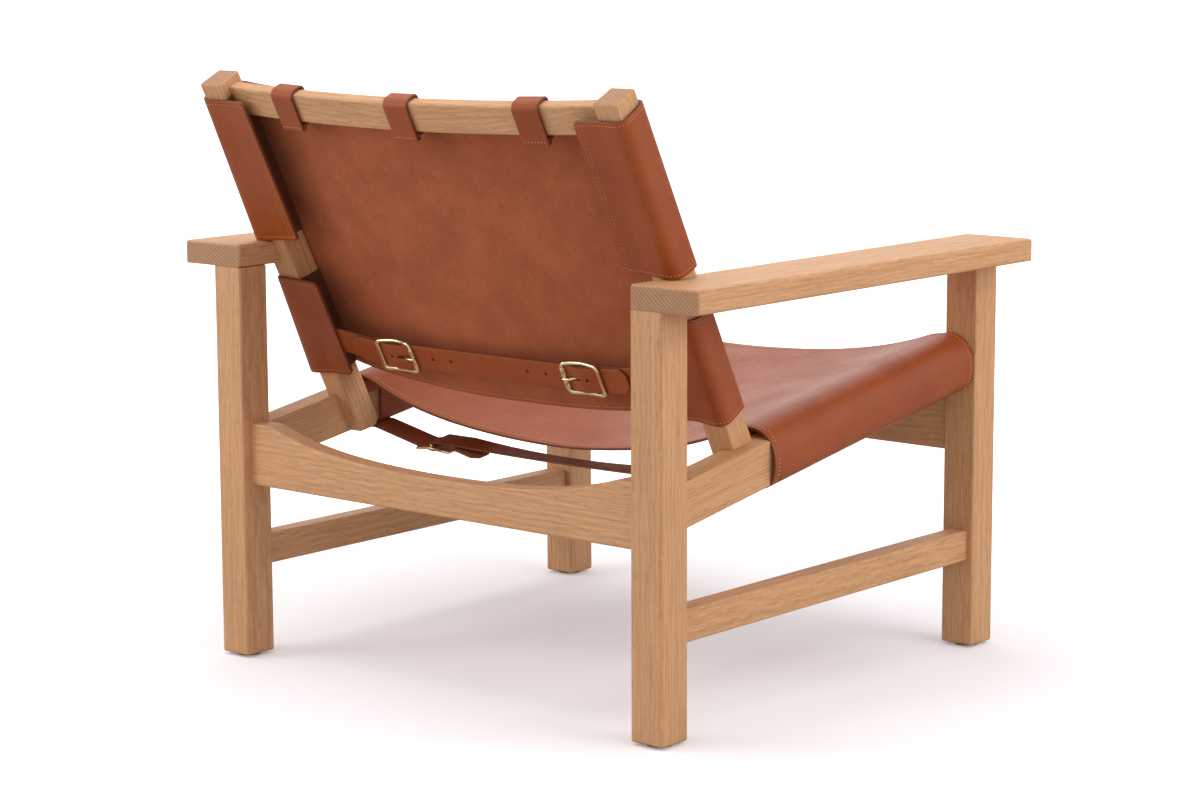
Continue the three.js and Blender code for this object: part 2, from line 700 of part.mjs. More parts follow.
const wire = BUCKLE_WIRE / 2;
const foldLine = wire + JOINT_GAP + FOLD_HIDE / 2; // middle of the fold, from the bar's axis
const crown = foldLine + FOLD_HIDE / 2 + 2 * JOINT_GAP + STRAP_HIDE / 2; // strap over the centre bar
const endBarX = BUCKLE_LENGTH / 2 - wire;
const endBarZ = BUCKLE_ARCH;
const buckleSide = BUCKLE_WIDTH / 2 - wire;

// Under the end bars lie the strap that runs through, the fold's outer layer and its inner layer.
const throughLayer = endBarZ - wire - JOINT_GAP - STRAP_HIDE / 2;
const outerLayer = throughLayer - STRAP_HIDE / 2 - JOINT_GAP - FOLD_HIDE / 2;
const innerLayer = outerLayer - FOLD_HIDE - JOINT_GAP;

function bar(x, z) {
  const rod = new THREE.CylinderGeometry(wire, wire, 2 * buckleSide, ROUND_SIDES);
  return rod.translate(x, 0, z);
}

function buckleFrameGeometry() {
  const arch = [
    [-endBarX - wire, endBarZ],
    [-endBarX + wire, endBarZ - wire / 2],
    [-wire, wire / 2],
    [wire, wire / 2],
    [endBarX - wire, endBarZ - wire / 2],
    [endBarX + wire, endBarZ],
  ];
  const cheeks = [-buckleSide, buckleSide].map((y) =>
    alongY(strip(arch, BUCKLE_WIRE), about(y, BUCKLE_WIRE), wire / 4),
  );
  const bars = [bar(-endBarX, endBarZ), bar(0, 0), bar(endBarX, endBarZ)];
  return geometryOf(joined(solidOf(bars[0]), [cheeks[0], cheeks[1], bars[1], bars[2]]));
}

// The prong: an eye on the centre bar, rising through the strap to lie on the end bar.
function prongGeometry() {
  const hole = wire + PRONG_PLAY;
  const eye = hole + PRONG_EYE_WALL;
  const rest = endBarZ + wire + JOINT_GAP + PRONG_THICKNESS / 2;
  const line = [
    [-hole - PRONG_EYE_WALL / 2, PRONG_EYE_WALL],
    [-2 * eye, eye - PRONG_EYE_WALL / 2],
    [-endBarX + 2 * wire, rest - JOINT_GAP],
    [-endBarX - PRONG_OVERHANG, rest + JOINT_GAP],
  ];
  const across = about(0, PRONG_THICKNESS);
  const ring = new THREE.Shape().absarc(0, 0, eye, 0, 2 * Math.PI);
  const rod = alongY(strip(line, PRONG_THICKNESS), across, PRONG_THICKNESS / 6);
  const bore = new THREE.CylinderGeometry(hole, hole, 2 * PRONG_THICKNESS, ROUND_SIDES);
  const disc = alongY(ring, across, 0, ROUND_SIDES);
  return geometryOf(cut(joined(solidOf(disc), [rod]), [bore]));
}

function addBuckle(parent, kind, place, origin, along, outward) {
  const group = new THREE.Group();
  const across = outward.clone().cross(along);
  group.applyMatrix4(new THREE.Matrix4().makeBasis(along, across, outward).setPosition(origin));
  parent.add(group);
  add(group, `${kind}_buckle_frame_${place}`, buckleFrameGeometry(), brass);
  add(group, `${kind}_buckle_prong_${place}`, prongGeometry(), brass);
  return group;
}

// The folded end of a strap round the centre bar, from its sewn inner layer to its outer layer.
function foldedEnd() {
  return [
    [FOLD_RETURN, innerLayer],
    [endBarX, innerLayer],
    ...bend([0, 0], foldLine, 270, 90),
    [endBarX, outerLayer],
    [FOLD_RETURN, outerLayer],
  ];
}

const foldSlot = () =>
  block([-2 * foldLine, 2 * wire + FOLD_HIDE], about(0, PRONG_SLOT_WIDTH), about(0, 4 * foldLine));

// A strap along a line in X and Z, with the outline that it has when seen flat.
function hungStrap(line, outline) {
  const hung = solidOf(alongY(strip(line, STRAP_HIDE), about(0, STRAP_WIDTH)));
  const reach = 2 * SEAT_STRAP_DROP;
  return hung.intersect(solidOf(extruded(outline, 2 * reach).translate(0, 0, -reach)));
}

// A strap seen flat, from x0 to x1, with clipped corners at the ends that are free.
function strapOutline(x0, x1, clipStart, clipEnd) {
  const half = STRAP_WIDTH / 2;
  const start = clipStart ? half / 2 : 0;
  const end = clipEnd ? half / 2 : 0;
  return polygon([
    [x0, -half + start],
    [x0 + start, -half],
    [x1 - end, -half],
    [x1, -half + end],
    [x1, half - end],
    [x1 - end, half],
    [x0 + start, half],
    [x0, half - start],
  ].filter(([x, y], i, all) => i === 0 || x !== all[i - 1][0] || y !== all[i - 1][1]));
}

// The slot that the prong passes, from the centre bar's place in a strap towards its root.
function prongSlot(x, rootward) {
  const ends = [x + rootward * PRONG_SLOT_NEAR, x + rootward * PRONG_SLOT_FAR].sort((a, b) => a - b);
  return block(ends, about(0, PRONG_SLOT_WIDTH), about(0, 4 * SEAT_STRAP_DROP));
}

const X_AXIS = new THREE.Vector3(1, 0, 0);
const Y_AXIS = new THREE.Vector3(0, 1, 0);
const Z_AXIS = new THREE.Vector3(0, 0, 1);

// The back strap lies in the frame of the back, square to the posts.
const backBuckleLeft = flapEdge - BACK_BUCKLE_LEFT_INSET;
const backBuckleRight = BACK_BUCKLE_RIGHT_INSET - flapEdge;
const backBuckles = [
  ['left', 1, backBuckleLeft],
  ['right', -1, backBuckleRight],
];

const underFlap = postHalf + HIDE_GAP - JOINT_GAP - FOLD_HIDE / 2 - BACK_STRAP_DEPTH;
const flapReach = (x) => flapEdge - Math.abs(x) - 2 * HIDE; // centre bar to the lap under a flap

for (const [side, sign, x] of backBuckles) {
  const origin = new THREE.Vector3(x, BACK_STRAP_DEPTH, -BACK_STRAP_BELOW_ARM);
  const along = X_AXIS.clone().multiplyScalar(sign);
  const buckle = addBuckle(back, 'back', side, origin, along, Y_AXIS);
  const line = [
    ...foldedEnd(),
    [flapReach(x), underFlap],
    [flapReach(x) + STRAP_LAP, underFlap],
  ];
  const strap = alongY(strip(line, FOLD_HIDE), about(0, STRAP_WIDTH));
  add(buckle, `back_strap_${side}`, geometryOf(cut(solidOf(strap), [foldSlot()])), leather);
}

// The middle strap rises over each centre bar, and its tails lie on the side straps.
function backMiddleGeometry() {
  const ends = [backBuckleRight - BACK_TAIL, backBuckleLeft + BACK_TAIL];
  const half = (x, sign) => {
    const rise = (underFlap - outerLayer) / (flapReach(x) - FOLD_RETURN);
    return [
      [x - sign * endBarX, throughLayer],
      [x, crown],
      [x + sign * endBarX, throughLayer],
      [x + sign * FOLD_RETURN, throughLayer],
      [x + sign * BACK_TAIL, throughLayer + rise * (BACK_TAIL - FOLD_RETURN)],
    ];
  };
  const line = [...half(backBuckleRight, -1).reverse(), ...half(backBuckleLeft, 1)];
  const slots = [prongSlot(backBuckleLeft, -1), prongSlot(backBuckleRight, 1)];
  return geometryOf(cut(hungStrap(line, strapOutline(...ends, true, true)), slots));
}

const middle = add(back, 'back_strap_middle', backMiddleGeometry(), leather);
middle.rotation.x = -Math.PI / 2;
middle.position.set(0, BACK_STRAP_DEPTH, -BACK_STRAP_BELOW_ARM);

// Each seat strap hangs slack under the sling, in a frame that follows the slope of the rails.
const seatBarZ = -SEAT_STRAP_DROP + crown;
const seatBuckleX = innerX - SEAT_BUCKLE_INSET;

function endStrapGeometry() {
  const tip = seatBuckleX - SEAT_TAIL;
  const root = seatRailX + SEAT_RAIL_THICKNESS / 4;
  const sleeve = -SEAT_RAIL_HEIGHT - 2 * HIDE_GAP - HIDE - STRAP_HIDE / 2;
  const under = seatBarZ - throughLayer;
  const line = [
    [root, sleeve],
    [innerX - HIDE, sleeve],
    [seatBuckleX + endBarX + wire, under],
    [seatBuckleX + endBarX, under],
    [seatBuckleX, -SEAT_STRAP_DROP],
    [seatBuckleX - endBarX, under],
    [seatBuckleX - FOLD_RETURN, under],
    [tip, under - TAIL_DROOP],
  ];
  const hung = hungStrap(line, strapOutline(tip, root, true, false));
  return geometryOf(cut(hung, [prongSlot(seatBuckleX, 1)]));
}

function middleStrapGeometry() {
  const fold = foldedEnd().reverse().slice(0, -1);
  const half = fold.map(([along, out]) => [seatBuckleX - along, seatBarZ - out]);
  const strap = alongY(strip([...half, ...mirrored(half)], FOLD_HIDE), about(0, STRAP_WIDTH));
  const slots = [1, -1].map((sign) =>
    foldSlot().rotateZ(sign > 0 ? Math.PI : 0).translate(sign * seatBuckleX, 0, seatBarZ),
  );
  return geometryOf(cut(solidOf(strap), slots));
}

const seatStraps = [
  ['rear', seatRear - SEAT_STRAP_INSET],
  ['front', seatFront + SEAT_STRAP_FRONT_INSET],
];

for (const [end, y] of seatStraps) {
  const under = new THREE.Group();
  under.position.set(0, y, seatTopAt(y));
  under.rotation.x = -seatAngle;
  chair.add(under);
  add(under, `seat_strap_${end}_middle`, middleStrapGeometry(), leather);
  for (const [side, sign] of sides) {
    const half = new THREE.Group();
    half.scale.x = sign;
    under.add(half);
    add(half, `seat_strap_${end}_${side}`, endStrapGeometry(), leather);
    const origin = new THREE.Vector3(sign * seatBuckleX, 0, seatBarZ);
    const along = X_AXIS.clone().multiplyScalar(-sign);
    addBuckle(under, 'seat', `${end}_${side}`, origin, along, Z_AXIS.clone().negate());
  }
}

// The chair stands centred on its origin.
const whole = new THREE.Box3().setFromObject(chair, true);
chair.position.y = -(whole.min.y + whole.max.y) / 2;

const part = new THREE.Group();
part.add(chair);

export default part;
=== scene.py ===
"""Dresses the packed frame of a leather sling lounge chair: eased oak timbers with grain, one-piece
hides sleeved round posts and rails, sewn seams, buckled straps and a plain studio. Metres, +Z up.
The sitter faces -Y, and left and right are the sitter's own."""
import math
from contextlib import contextmanager

import bmesh
import bpy
from bpy.props import FloatProperty, FloatVectorProperty, IntProperty, PointerProperty
from mathutils import Matrix, Vector, noise


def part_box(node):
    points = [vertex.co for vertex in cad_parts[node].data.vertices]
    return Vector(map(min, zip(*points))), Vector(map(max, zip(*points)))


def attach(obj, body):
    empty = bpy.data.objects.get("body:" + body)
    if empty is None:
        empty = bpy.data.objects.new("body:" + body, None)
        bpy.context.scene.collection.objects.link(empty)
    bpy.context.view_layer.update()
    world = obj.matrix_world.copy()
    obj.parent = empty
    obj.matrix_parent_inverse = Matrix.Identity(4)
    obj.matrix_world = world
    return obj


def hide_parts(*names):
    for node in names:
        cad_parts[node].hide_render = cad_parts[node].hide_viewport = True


bl_info = {
    "name": "Sling Lounge Chair",
    "version": (1, 0, 0),
    "blender": (4, 5, 0),
    "location": "View3D > Sidebar > Sling Chair",
    "description": "Models a leather sling lounge chair around its packed frame",
    "category": "Add Mesh",
}

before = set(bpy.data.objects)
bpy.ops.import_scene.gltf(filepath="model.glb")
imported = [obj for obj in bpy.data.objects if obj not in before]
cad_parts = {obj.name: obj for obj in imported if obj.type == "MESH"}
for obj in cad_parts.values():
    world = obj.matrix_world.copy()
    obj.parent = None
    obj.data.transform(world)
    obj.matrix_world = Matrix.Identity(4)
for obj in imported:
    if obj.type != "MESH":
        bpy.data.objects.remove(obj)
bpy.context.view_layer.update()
BODY = "chair"

X = Vector((1, 0, 0))
Y = Vector((0, 1, 0))
Z = Vector((0, 0, 1))
SIDES = (("left", 1), ("right", -1))
ENDS = ("front", "rear")
MM = 0.001


def corners(node):
    """The lowest and highest corners of a packed node."""
    low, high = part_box(node)
    return Vector(low), Vector(high)


# Places of the packed solids that the new pieces are modelled on
LEG_LOW, LEG_HIGH = corners("leg_rear_left")
FRONT_LEG_LOW, FRONT_LEG_HIGH = corners("leg_front_left")
ARM_LOW, ARM_HIGH = corners("armrest_left")
POST_LOW, POST_HIGH = corners("back_post_left")
RAIL_LOW, RAIL_HIGH = corners("seat_rail_left")
MIDDLE_Y = (FRONT_LEG_LOW.y + LEG_HIGH.y) / 2
FRONT_FACE_Y = FRONT_LEG_HIGH.y
REAR_FACE_Y = LEG_LOW.y


# Sizes and colours that a user would change


def length(name, description, default):
    """A property in metres."""
    return FloatProperty(
        name=name, description=description, default=default, unit="LENGTH", precision=4
    )


def angle(name, description, degrees):
    """A property given in degrees."""
    return FloatProperty(
        name=name, description=description, default=math.radians(degrees), subtype="ANGLE"
    )


def count(name, description, default):
    """A whole number from one."""
    return IntProperty(name=name, description=description, default=default, min=1)


def power(name, description, default):
    """A lamp's power in watts."""
    return FloatProperty(name=name, description=description, default=default, unit="POWER")


def colour(name, description, default):
    """A colour, linear."""
    return FloatVectorProperty(
        name=name, description=description, default=default, subtype="COLOR", size=3, min=0, max=1
    )


class TimberSizes(bpy.types.PropertyGroup):
    """Sizes of the oak frame"""

    ease: length("Edge rounding", "Rounding of the long edges", 0.003)
    arm_ease: length("Arm rounding", "Rounding of the arms' edges", 0.0035)
    post_ease: length("Post rounding", "Rounding of the posts' edges", 0.003)
    gap: length("Glue line", "Clearance of every seat", 0.0003)
    shoulder: length("Rail shoulder", "Level stretch of a cross rail beside each leg", 0.025)
    hollow: length("Rail hollow", "How far a cross rail's top edge dips", 0.032)
    lean: angle("Back lean", "Lean of the posts from the vertical", 27)
    setback: length("Post setback", "Post's centre line in front of the rear legs' rear faces", 0.077)
    post_depth: length("Post depth", "Section of a post along the chair", 0.036)
    foot_round: length("Foot rounding", "Rounding of the front corner of a post's foot", 0.016)
    rail_height: length("Seat rail height", "Height of a seat rail, square to its slope", 0.052)
    head_ease: length("Head easing", "Height that a packed post loses to its rounded head", 0.0012)
    top_height: length("Top rail height", "Height of the back's top rail", 0.037)
    top_depth: length("Top rail thickness", "Thickness of the back's top rail", 0.015)
    top_below: length("Top rail below head", "Bare post above the top rail", 0.0095)
    top_setback: length("Top rail setback", "Top rail in front of the posts' rear faces", 0.013)
    bow: length("Bow", "Rearward bow of the top rail and the back sling", 0.017)


class HideSizes(bpy.types.PropertyGroup):
    """Sizes of the leather slings and loops"""

    hide: length("Hide", "Thickness of the slings", 0.0035)
    air: length("Air", "Between a sling and the wood that it wraps", 0.0005)
    fold: length("Seat fold", "Rounding of the seat under a rail", 0.0055)
    corner: length("Sleeve corner", "Rounding of a back sleeve's rear edge", 0.013)
    front_corner: length("Sleeve front", "Rounding of a back sleeve's front edge", 0.008)
    room: length("Sleeve room", "Extra room of a back sleeve at its rear edge", 0.002)
    looser: length("Looser end", "Further room at a sleeve's lower end", 0.005)
    flap_rise: length("Flap rise", "Upper sleeve's lower edge, higher at the flap", 0.001)
    front_rise: length("Front rise", "Upper sleeve's lower edge, higher at the front", 0.0125)
    low_rise: length("Low front rise", "Lower sleeve's upper edge, higher at the front", 0.013)
    low_dip: length("Low flap dip", "Lower sleeve's upper edge, lower at the flap", 0.004)
    stand: length("Seat stand-off", "Extra room of the seat beside a rail", 0.004)
    belly: length("Seat belly", "Where that room is widest, below the rail's top", 0.026)
    seat_gap: length("Seat to posts", "Seat sling's rear edge to the posts", 0.0065)
    seat_clear: length("Seat to legs", "Seat sling's front edge to the front legs", 0.002)
    flap_gap: length("Flap to posts", "Inner seat flap to the posts' feet", 0.012)
    flap_top: length("Flap top", "Seat's inner flap above the rail's top, at the rear", 0.006)
    foot_room: length("Foot room", "Depth under that top where the post's foot starts", 0.009)
    swell: length("Seat swell", "Seat above a rail's inner top edge, at the rear", 0.013)
    front_swell: length("Front swell", "Seat above that edge, at the front", 0.0105)
    sag: length("Seat sag", "Depth of the seat's hollow at the rear edge", 0.0435)
    front_sag: length("Front sag", "Depth of the seat's hollow at the front edge", 0.035)
    bare_post: length("Bare post", "Post above the back sling", 0.0165)
    rear_dip: length("Rear dip", "A sleeve's upper edge, lower at the rear", 0.003)
    top_dip: length("Top dip", "Dip of the back sling's top edge", 0.008)
    below_arm: length("Back length", "Back sling below the arms, along the posts", 0.180)
    drop: length("Bottom drop", "Extra drop of its lower edge in the middle", 0.024)
    flap: length("Back flap", "Reach of a rear flap past the post", 0.032)
    flap_corner: length("Flap corner", "Rounding of a rear flap's corners", 0.006)
    over_arm: length("Sleeve over arm", "Upper sleeve above the arm", 0.003)
    under_arm: length("Sleeve under arm", "Lower sleeve below the arm", 0.019)
    cut_inset: length("Cut-out inset", "Hide stops this far inside the arm's inner edge", 0.005)
    lining: length("Lining", "Thickness of the sleeves' linings", 0.0012)
    loop_width: length("Loop width", "Width of a loop over the top rail", 0.036)
    loop_hide: length("Loop hide", "Thickness of a loop", 0.003)
    loop_spacing: length("Loop spacing", "Distance between the loops", 0.188)
    loop_foot: length("Loop foot", "Loop below the rail", 0.010)
    loop_lap: length("Loop lap", "Where a loop's ends are sewn together", 0.0055)


class StrapSizes(bpy.types.PropertyGroup):
    """Sizes of the straps and their buckles"""

    width: length("Strap width", "Width of every strap", 0.034)
    strap: length("Strap", "Thickness of the straps that run through", 0.003)
    skived: length("Skived end", "Thickness of the ends folded round a bar", 0.0025)
    turn: length("Return", "Length of the sewn return", 0.038)
    back_tail: length("Back tail", "Free tail past the centre bar", 0.068)
    end_rise: length("End rise", "Rise of the back strap towards the flaps", 0.012)
    seat_tail: length("Seat tail", "Free tail past the centre bar", 0.072)
    tail_droop: length("Tail droop", "Droop of the tails under the seat", 0.008)
    twist: angle("Twist", "Turn of a seat strap at its middle", 10)
    slack: length("Slack", "Droop of the seat straps between their buckles", 0.005)
    lap: length("Strap lap", "Sewn under the sleeve", 0.034)
    back_below: length("Back strap", "Back strap below the arms, along the posts", 0.143)
    back_depth: length("Back strap depth", "Centre bars behind the posts' centre lines", 0.014)
    left_inset: length("Left buckle", "Centre bar from the left flap", 0.092)
    right_inset: length("Right buckle", "Centre bar from the right flap", 0.124)
    rear_inset: length("Rear seat strap", "From the seat's rear edge", 0.028)
    front_inset: length("Front seat strap", "From the seat's front edge", 0.050)
    seat_drop: length("Seat strap drop", "Below the rail tops, square to the slope", 0.079)
    seat_inset: length("Seat buckle", "Centre bar from the rail", 0.100)
    hole: length("Hole", "Diameter of the punched holes", 0.0046)
    hole_pitch: length("Hole pitch", "Distance between the holes", 0.029)
    buckle_length: length("Buckle length", "Along the strap", 0.058)
    buckle_width: length("Buckle width", "Across the strap", 0.043)
    wire: length("Bar", "Thickness of the buckle's centre bar", 0.004)
    ring: length("Ring", "Thickness of the wire round a buckle", 0.0048)
    corner: length("Buckle corner", "Rounding of the buckle's corners", 0.005)
    swell: length("Cheek swell", "Outward swell of the cheeks", 0.0012)
    arch: length("Arch", "End bars above the centre bar", 0.006)
    cheek: length("Cheek", "Cheeks above the centre bar at their middle", 0.0025)
    prong: length("Prong", "Thickness of the prong", 0.0028)


class SeamSizes(bpy.types.PropertyGroup):
    """Sizes of the sewing"""

    pitch: length("Stitch pitch", "Distance between stitches", 0.0044)
    stitch: length("Stitch length", "Thread seen above the hide", 0.0020)
    thread: length("Thread", "Thickness of the thread", 0.0010)
    inset: length("Seam inset", "Seam from the cut edge", 0.0048)
    seat_inset: length("Seat seam inset", "Seam from the seat's front and rear edges", 0.0075)
    twin: length("Second row", "Distance to the second row", 0.0055)


class Finishes(bpy.types.PropertyGroup):
    """Colours of the finishes, linear"""

    oak: colour("Oak", "Early wood", (0.75, 0.412, 0.207))
    oak_late: colour("Late wood", "Darker part of each ring", (0.49, 0.240, 0.104))
    oak_pore: colour("Pores", "Open pores along the grain", (0.22, 0.098, 0.040))
    oak_end: colour("End grain", "Sawn ends of the timbers", (0.190, 0.092, 0.050))
    leather: colour("Leather", "Grain side", (0.358, 0.072, 0.0110))
    leather_deep: colour("Deep leather", "Darker clouds of the grain side", (0.280, 0.053, 0.0080))
    flesh: colour("Flesh side", "Brushed inner side of the hide", (0.495, 0.136, 0.053))
    flesh_deep: colour("Deep flesh side", "Darker clouds of the inner side", (0.300, 0.077, 0.028))
    edge: colour("Cut edge", "Burnished edges of the hides", (0.125, 0.033, 0.0115))
    # The linings' colour is painted shade: leather darkened to stand in for the shadow inside the
    # sleeves, beside each flap
    lining: colour("Lining", "Dark linings of the sleeves", (0.085, 0.024, 0.0095))
    thread: colour("Thread", "Waxed thread", (0.68, 0.35, 0.17))
    brass: colour("Brass", "Buckles and prongs", (0.90, 0.71, 0.44))
    glide: colour("Glide", "Pads under the legs", (0.07, 0.055, 0.045))
    floor: colour("Floor", "Studio floor", (0.88, 0.845, 0.868))
    bounce: colour("Bounce", "Floor as it lights the chair", (0.57, 0.55, 0.53))


class StudioSizes(bpy.types.PropertyGroup):
    """Camera and lamps"""

    lens: FloatProperty(name="Lens", description="Focal length", default=91.26, unit="CAMERA")
    eye_x: length("Camera X", "Place of the camera", -2.3788)
    eye_y: length("Camera Y", "Place of the camera, from the middle of the legs", 2.8118)
    eye_z: length("Camera Z", "Height of the camera", 0.9087)
    yaw: angle("Yaw", "Heading of the camera", 139.609)
    pitch: angle("Pitch", "Tilt of the camera", -9.207)
    roll: angle("Roll", "Roll of the camera", -0.228)
    sky: FloatProperty(name="Sky", description="Light from all round", default=0.68)
    key: power("Key", "Overhead lamp", 27)
    side: power("Side", "Lamp beside the chair", 27)
    rear: power("Rear", "Low lamp behind the chair", 22)
    front: power("Front", "Lamp before the chair", 8)


GROUPS = {
    "timber": TimberSizes,
    "hides": HideSizes,
    "straps": StrapSizes,
    "seams": SeamSizes,
    "finishes": Finishes,
    "studio": StudioSizes,
}


def sizes(group):
    """The chair's own property group of that name."""
    return getattr(bpy.context.scene, f"sling_chair_{group}")


# Frames of reference


def back_frame():
    """X across, Y squarely to the rear of the posts and Z up along them, from the arms' tops."""
    timber = sizes("timber")
    place = Matrix.Translation((0, LEG_HIGH.y - timber.setback, ARM_HIGH.z))
    return place @ Matrix.Rotation(-timber.lean, 4, "X")


def post_head():
    """Top of the posts in the frame of the back."""
    timber = sizes("timber")
    front = timber.post_depth / 2 * math.sin(timber.lean)
    rise = POST_HIGH.z + timber.head_ease - ARM_HIGH.z - front
    return rise / math.cos(timber.lean)


def seat_slope():
    """Rise of the seat rails towards the front, for each metre, settled in a few rounds."""
    rounds = 6
    run = REAR_FACE_Y - FRONT_FACE_Y - 2 * sizes("timber").gap
    rise = RAIL_HIGH.z - RAIL_LOW.z
    slope = rise / run
    for _ in range(rounds):
        slope = (rise - sizes("timber").rail_height * math.hypot(1, slope)) / run
    return slope


def seat_top(y):
    """Height of the seat rails' tops."""
    return RAIL_HIGH.z - seat_slope() * (y - FRONT_FACE_Y - sizes("timber").gap)


def rail_drop():
    """Height of a seat rail, measured upright."""
    return sizes("timber").rail_height * math.hypot(1, seat_slope())


def post_front(drop):
    """Y of the posts' front faces where a line below the seat rails' tops meets them."""
    timber = sizes("timber")
    foot = back_frame() @ Vector((0, -timber.post_depth / 2, 0))
    lean = math.tan(timber.lean)
    level = seat_top(foot.y) - drop
    return foot.y + (level - foot.z) * lean / (1 + seat_slope() * lean)


def bow_at(x):
    """Rearward bow of the top rail and of the back sling."""
    return sizes("timber").bow * max(0, 1 - (x / POST_LOW.x) ** 2)


# Working by hand: choosing, editing and applying


def put_down():
    """Leaves edit mode with nothing chosen."""
    if bpy.context.mode != "OBJECT":
        bpy.ops.object.mode_set(mode="OBJECT")
    bpy.ops.object.select_all(action="DESELECT")


def take(*pieces):
    """Chooses pieces, the first one active."""
    put_down()
    for piece in pieces:
        piece.select_set(True)
    bpy.context.view_layer.objects.active = pieces[0]


@contextmanager
def editing(piece):
    """Edit mode on one piece, with nothing chosen."""
    take(piece)
    bpy.ops.object.mode_set(mode="EDIT")
    bpy.ops.mesh.select_all(action="DESELECT")
    yield
    bpy.ops.object.mode_set(mode="OBJECT")


def choose(piece, kind, test):
    """Chooses the vertices or edges of the edited piece that pass a test."""
    bpy.ops.mesh.select_mode(type=kind)
    bpy.ops.mesh.select_all(action="DESELECT")
    cage = bmesh.from_edit_mesh(piece.data)
    for part in {"VERT": cage.verts, "EDGE": cage.edges}[kind]:
        part.select_set(bool(test(part)))
    cage.select_flush_mode()
    bmesh.update_edit_mesh(piece.data)


def runs_along(edge, axis):
    """Whether an edge lies along an axis."""
    span = edge.verts[1].co - edge.verts[0].co
    return span.length > 0 and abs(span.normalized().dot(axis)) > 0.99


def reshape(piece, move):
    """Moves every point of the edited piece."""
    cage = bmesh.from_edit_mesh(piece.data)
    for vertex in cage.verts:
        move(vertex.co)
    bmesh.update_edit_mesh(piece.data)


def settle(piece):
    """Puts a piece's place, turn and size into its mesh."""
    take(piece)
    bpy.ops.object.transform_apply(location=True, rotation=True, scale=True)


def finish_modifier(piece, kind, **settings):
    """Adds a modifier and applies it."""
    take(piece)
    modifier = piece.modifiers.new(kind.lower(), kind)
    for setting, value in settings.items():
        setattr(modifier, setting, value)
    bpy.ops.object.modifier_apply(modifier=modifier.name)


def carve(piece, cutter):
    """Cuts a piece out of another and removes it."""
    finish_modifier(piece, "BOOLEAN", object=cutter, operation="DIFFERENCE", solver="EXACT")
    discard(cutter)


def discard(piece):
    """Removes a working piece and its mesh."""
    mesh = piece.data
    bpy.data.objects.remove(piece)
    bpy.data.meshes.remove(mesh)


def rename(piece, name):
    """Names a piece and its mesh alike."""
    piece.name = name
    piece.data.name = name
    return piece


def face_outwards(piece):
    """Turns all the faces of a closed piece outwards."""
    with editing(piece):
        bpy.ops.mesh.select_all(action="SELECT")
        bpy.ops.mesh.normals_make_consistent(inside=False)


def copy_of(piece, name, matrix):
    """A copy with its own mesh, moved by a matrix that may also mirror it."""
    take(piece)
    bpy.ops.object.duplicate(linked=False)
    twin = rename(bpy.context.active_object, name)
    twin.matrix_world = matrix @ twin.matrix_world
    settle(twin)
    if matrix.determinant() < 0:
        face_outwards(twin)
    return twin


def add_object(name, data):
    """Puts a mesh, lamp or camera into the scene."""
    made = bpy.data.objects.new(name, data)
    bpy.context.scene.collection.objects.link(made)
    return made


def primitive(kind, **settings):
    """A primitive of some kind, with its place and size in its mesh."""
    put_down()
    getattr(bpy.ops.mesh, f"primitive_{kind}_add")(**settings)
    piece = bpy.context.active_object
    settle(piece)
    return piece


def block(name, low, high, matrix=None):
    """A squared block between two corners, turned into place by a matrix."""
    low, high = Vector(low), Vector(high)
    piece = rename(primitive("cube", size=1, location=(low + high) / 2, scale=high - low), name)
    if matrix is not None:
        piece.matrix_world = matrix
        settle(piece)
    return piece


def soften(piece, width, segments=3, limit=50, crisp=lambda edge: False):
    """Rounds the sharp edges of a piece, apart from crisp ones, and keeps its flats flat."""
    with editing(piece):
        cage = bmesh.from_edit_mesh(piece.data)
        weights = cage.edges.layers.float.new("bevel_weight_edge")
        for edge in cage.edges:
            sharp = edge.is_manifold and edge.calc_face_angle() > math.radians(limit)
            edge[weights] = 1.0 if sharp and not crisp(edge) else 0.0
        bmesh.update_edit_mesh(piece.data)
    finish_modifier(piece, "BEVEL", width=width, segments=segments, limit_method="WEIGHT")
    take(piece)
    bpy.ops.object.shade_smooth_by_angle(angle=math.radians(limit))
    finish_modifier(piece, "WEIGHTED_NORMAL", keep_sharp=True)


def join(name, *pieces):
    """Joins pieces into one."""
    take(*pieces)
    bpy.ops.object.join()
    return rename(bpy.context.active_object, name)


# Materials


class Nodes:
    """The node tree of a material or a world."""

    # Sockets of a mix node that blends colours: its share, its two colours and its result
    mix_inputs = (0, 6, 7)
    mix_output = 2

    def __init__(self, owner):
        owner.use_nodes = True
        self.tree = owner.node_tree

    def add(self, kind, values=None, **settings):
        """A node with its settings and with values or links for its inputs."""
        made = self.tree.nodes.new(kind)
        for setting, value in settings.items():
            setattr(made, setting, value)
        for socket, value in (values or {}).items():
            self.set(made.inputs[socket], value)
        return made

    def set(self, socket, value):
        """Links a socket to another one, or gives it a value."""
        if isinstance(value, bpy.types.NodeSocket):
            self.tree.links.new(value, socket)
        else:
            socket.default_value = value

    def math(self, operation, *values):
        """The result of one operation on some values."""
        return self.add("ShaderNodeMath", dict(enumerate(values)), operation=operation).outputs[0]

    def sum(self, first, second, share=1.0):
        """The first value plus a share of the second."""
        return self.math("MULTIPLY_ADD", second, share, first)

    def span(self, value, low, high, to_low=0.0, to_high=1.0):
        """Maps one range to another, clamped."""
        ranges = {"From Min": low, "From Max": high, "To Min": to_low, "To Max": to_high}
        return self.add("ShaderNodeMapRange", {"Value": value, **ranges}).outputs["Result"]

    def blend(self, share, first, second):
        """A colour between two others."""
        values = dict(zip(self.mix_inputs, (share, first, second)))
        return self.add("ShaderNodeMix", values, data_type="RGBA").outputs[self.mix_output]


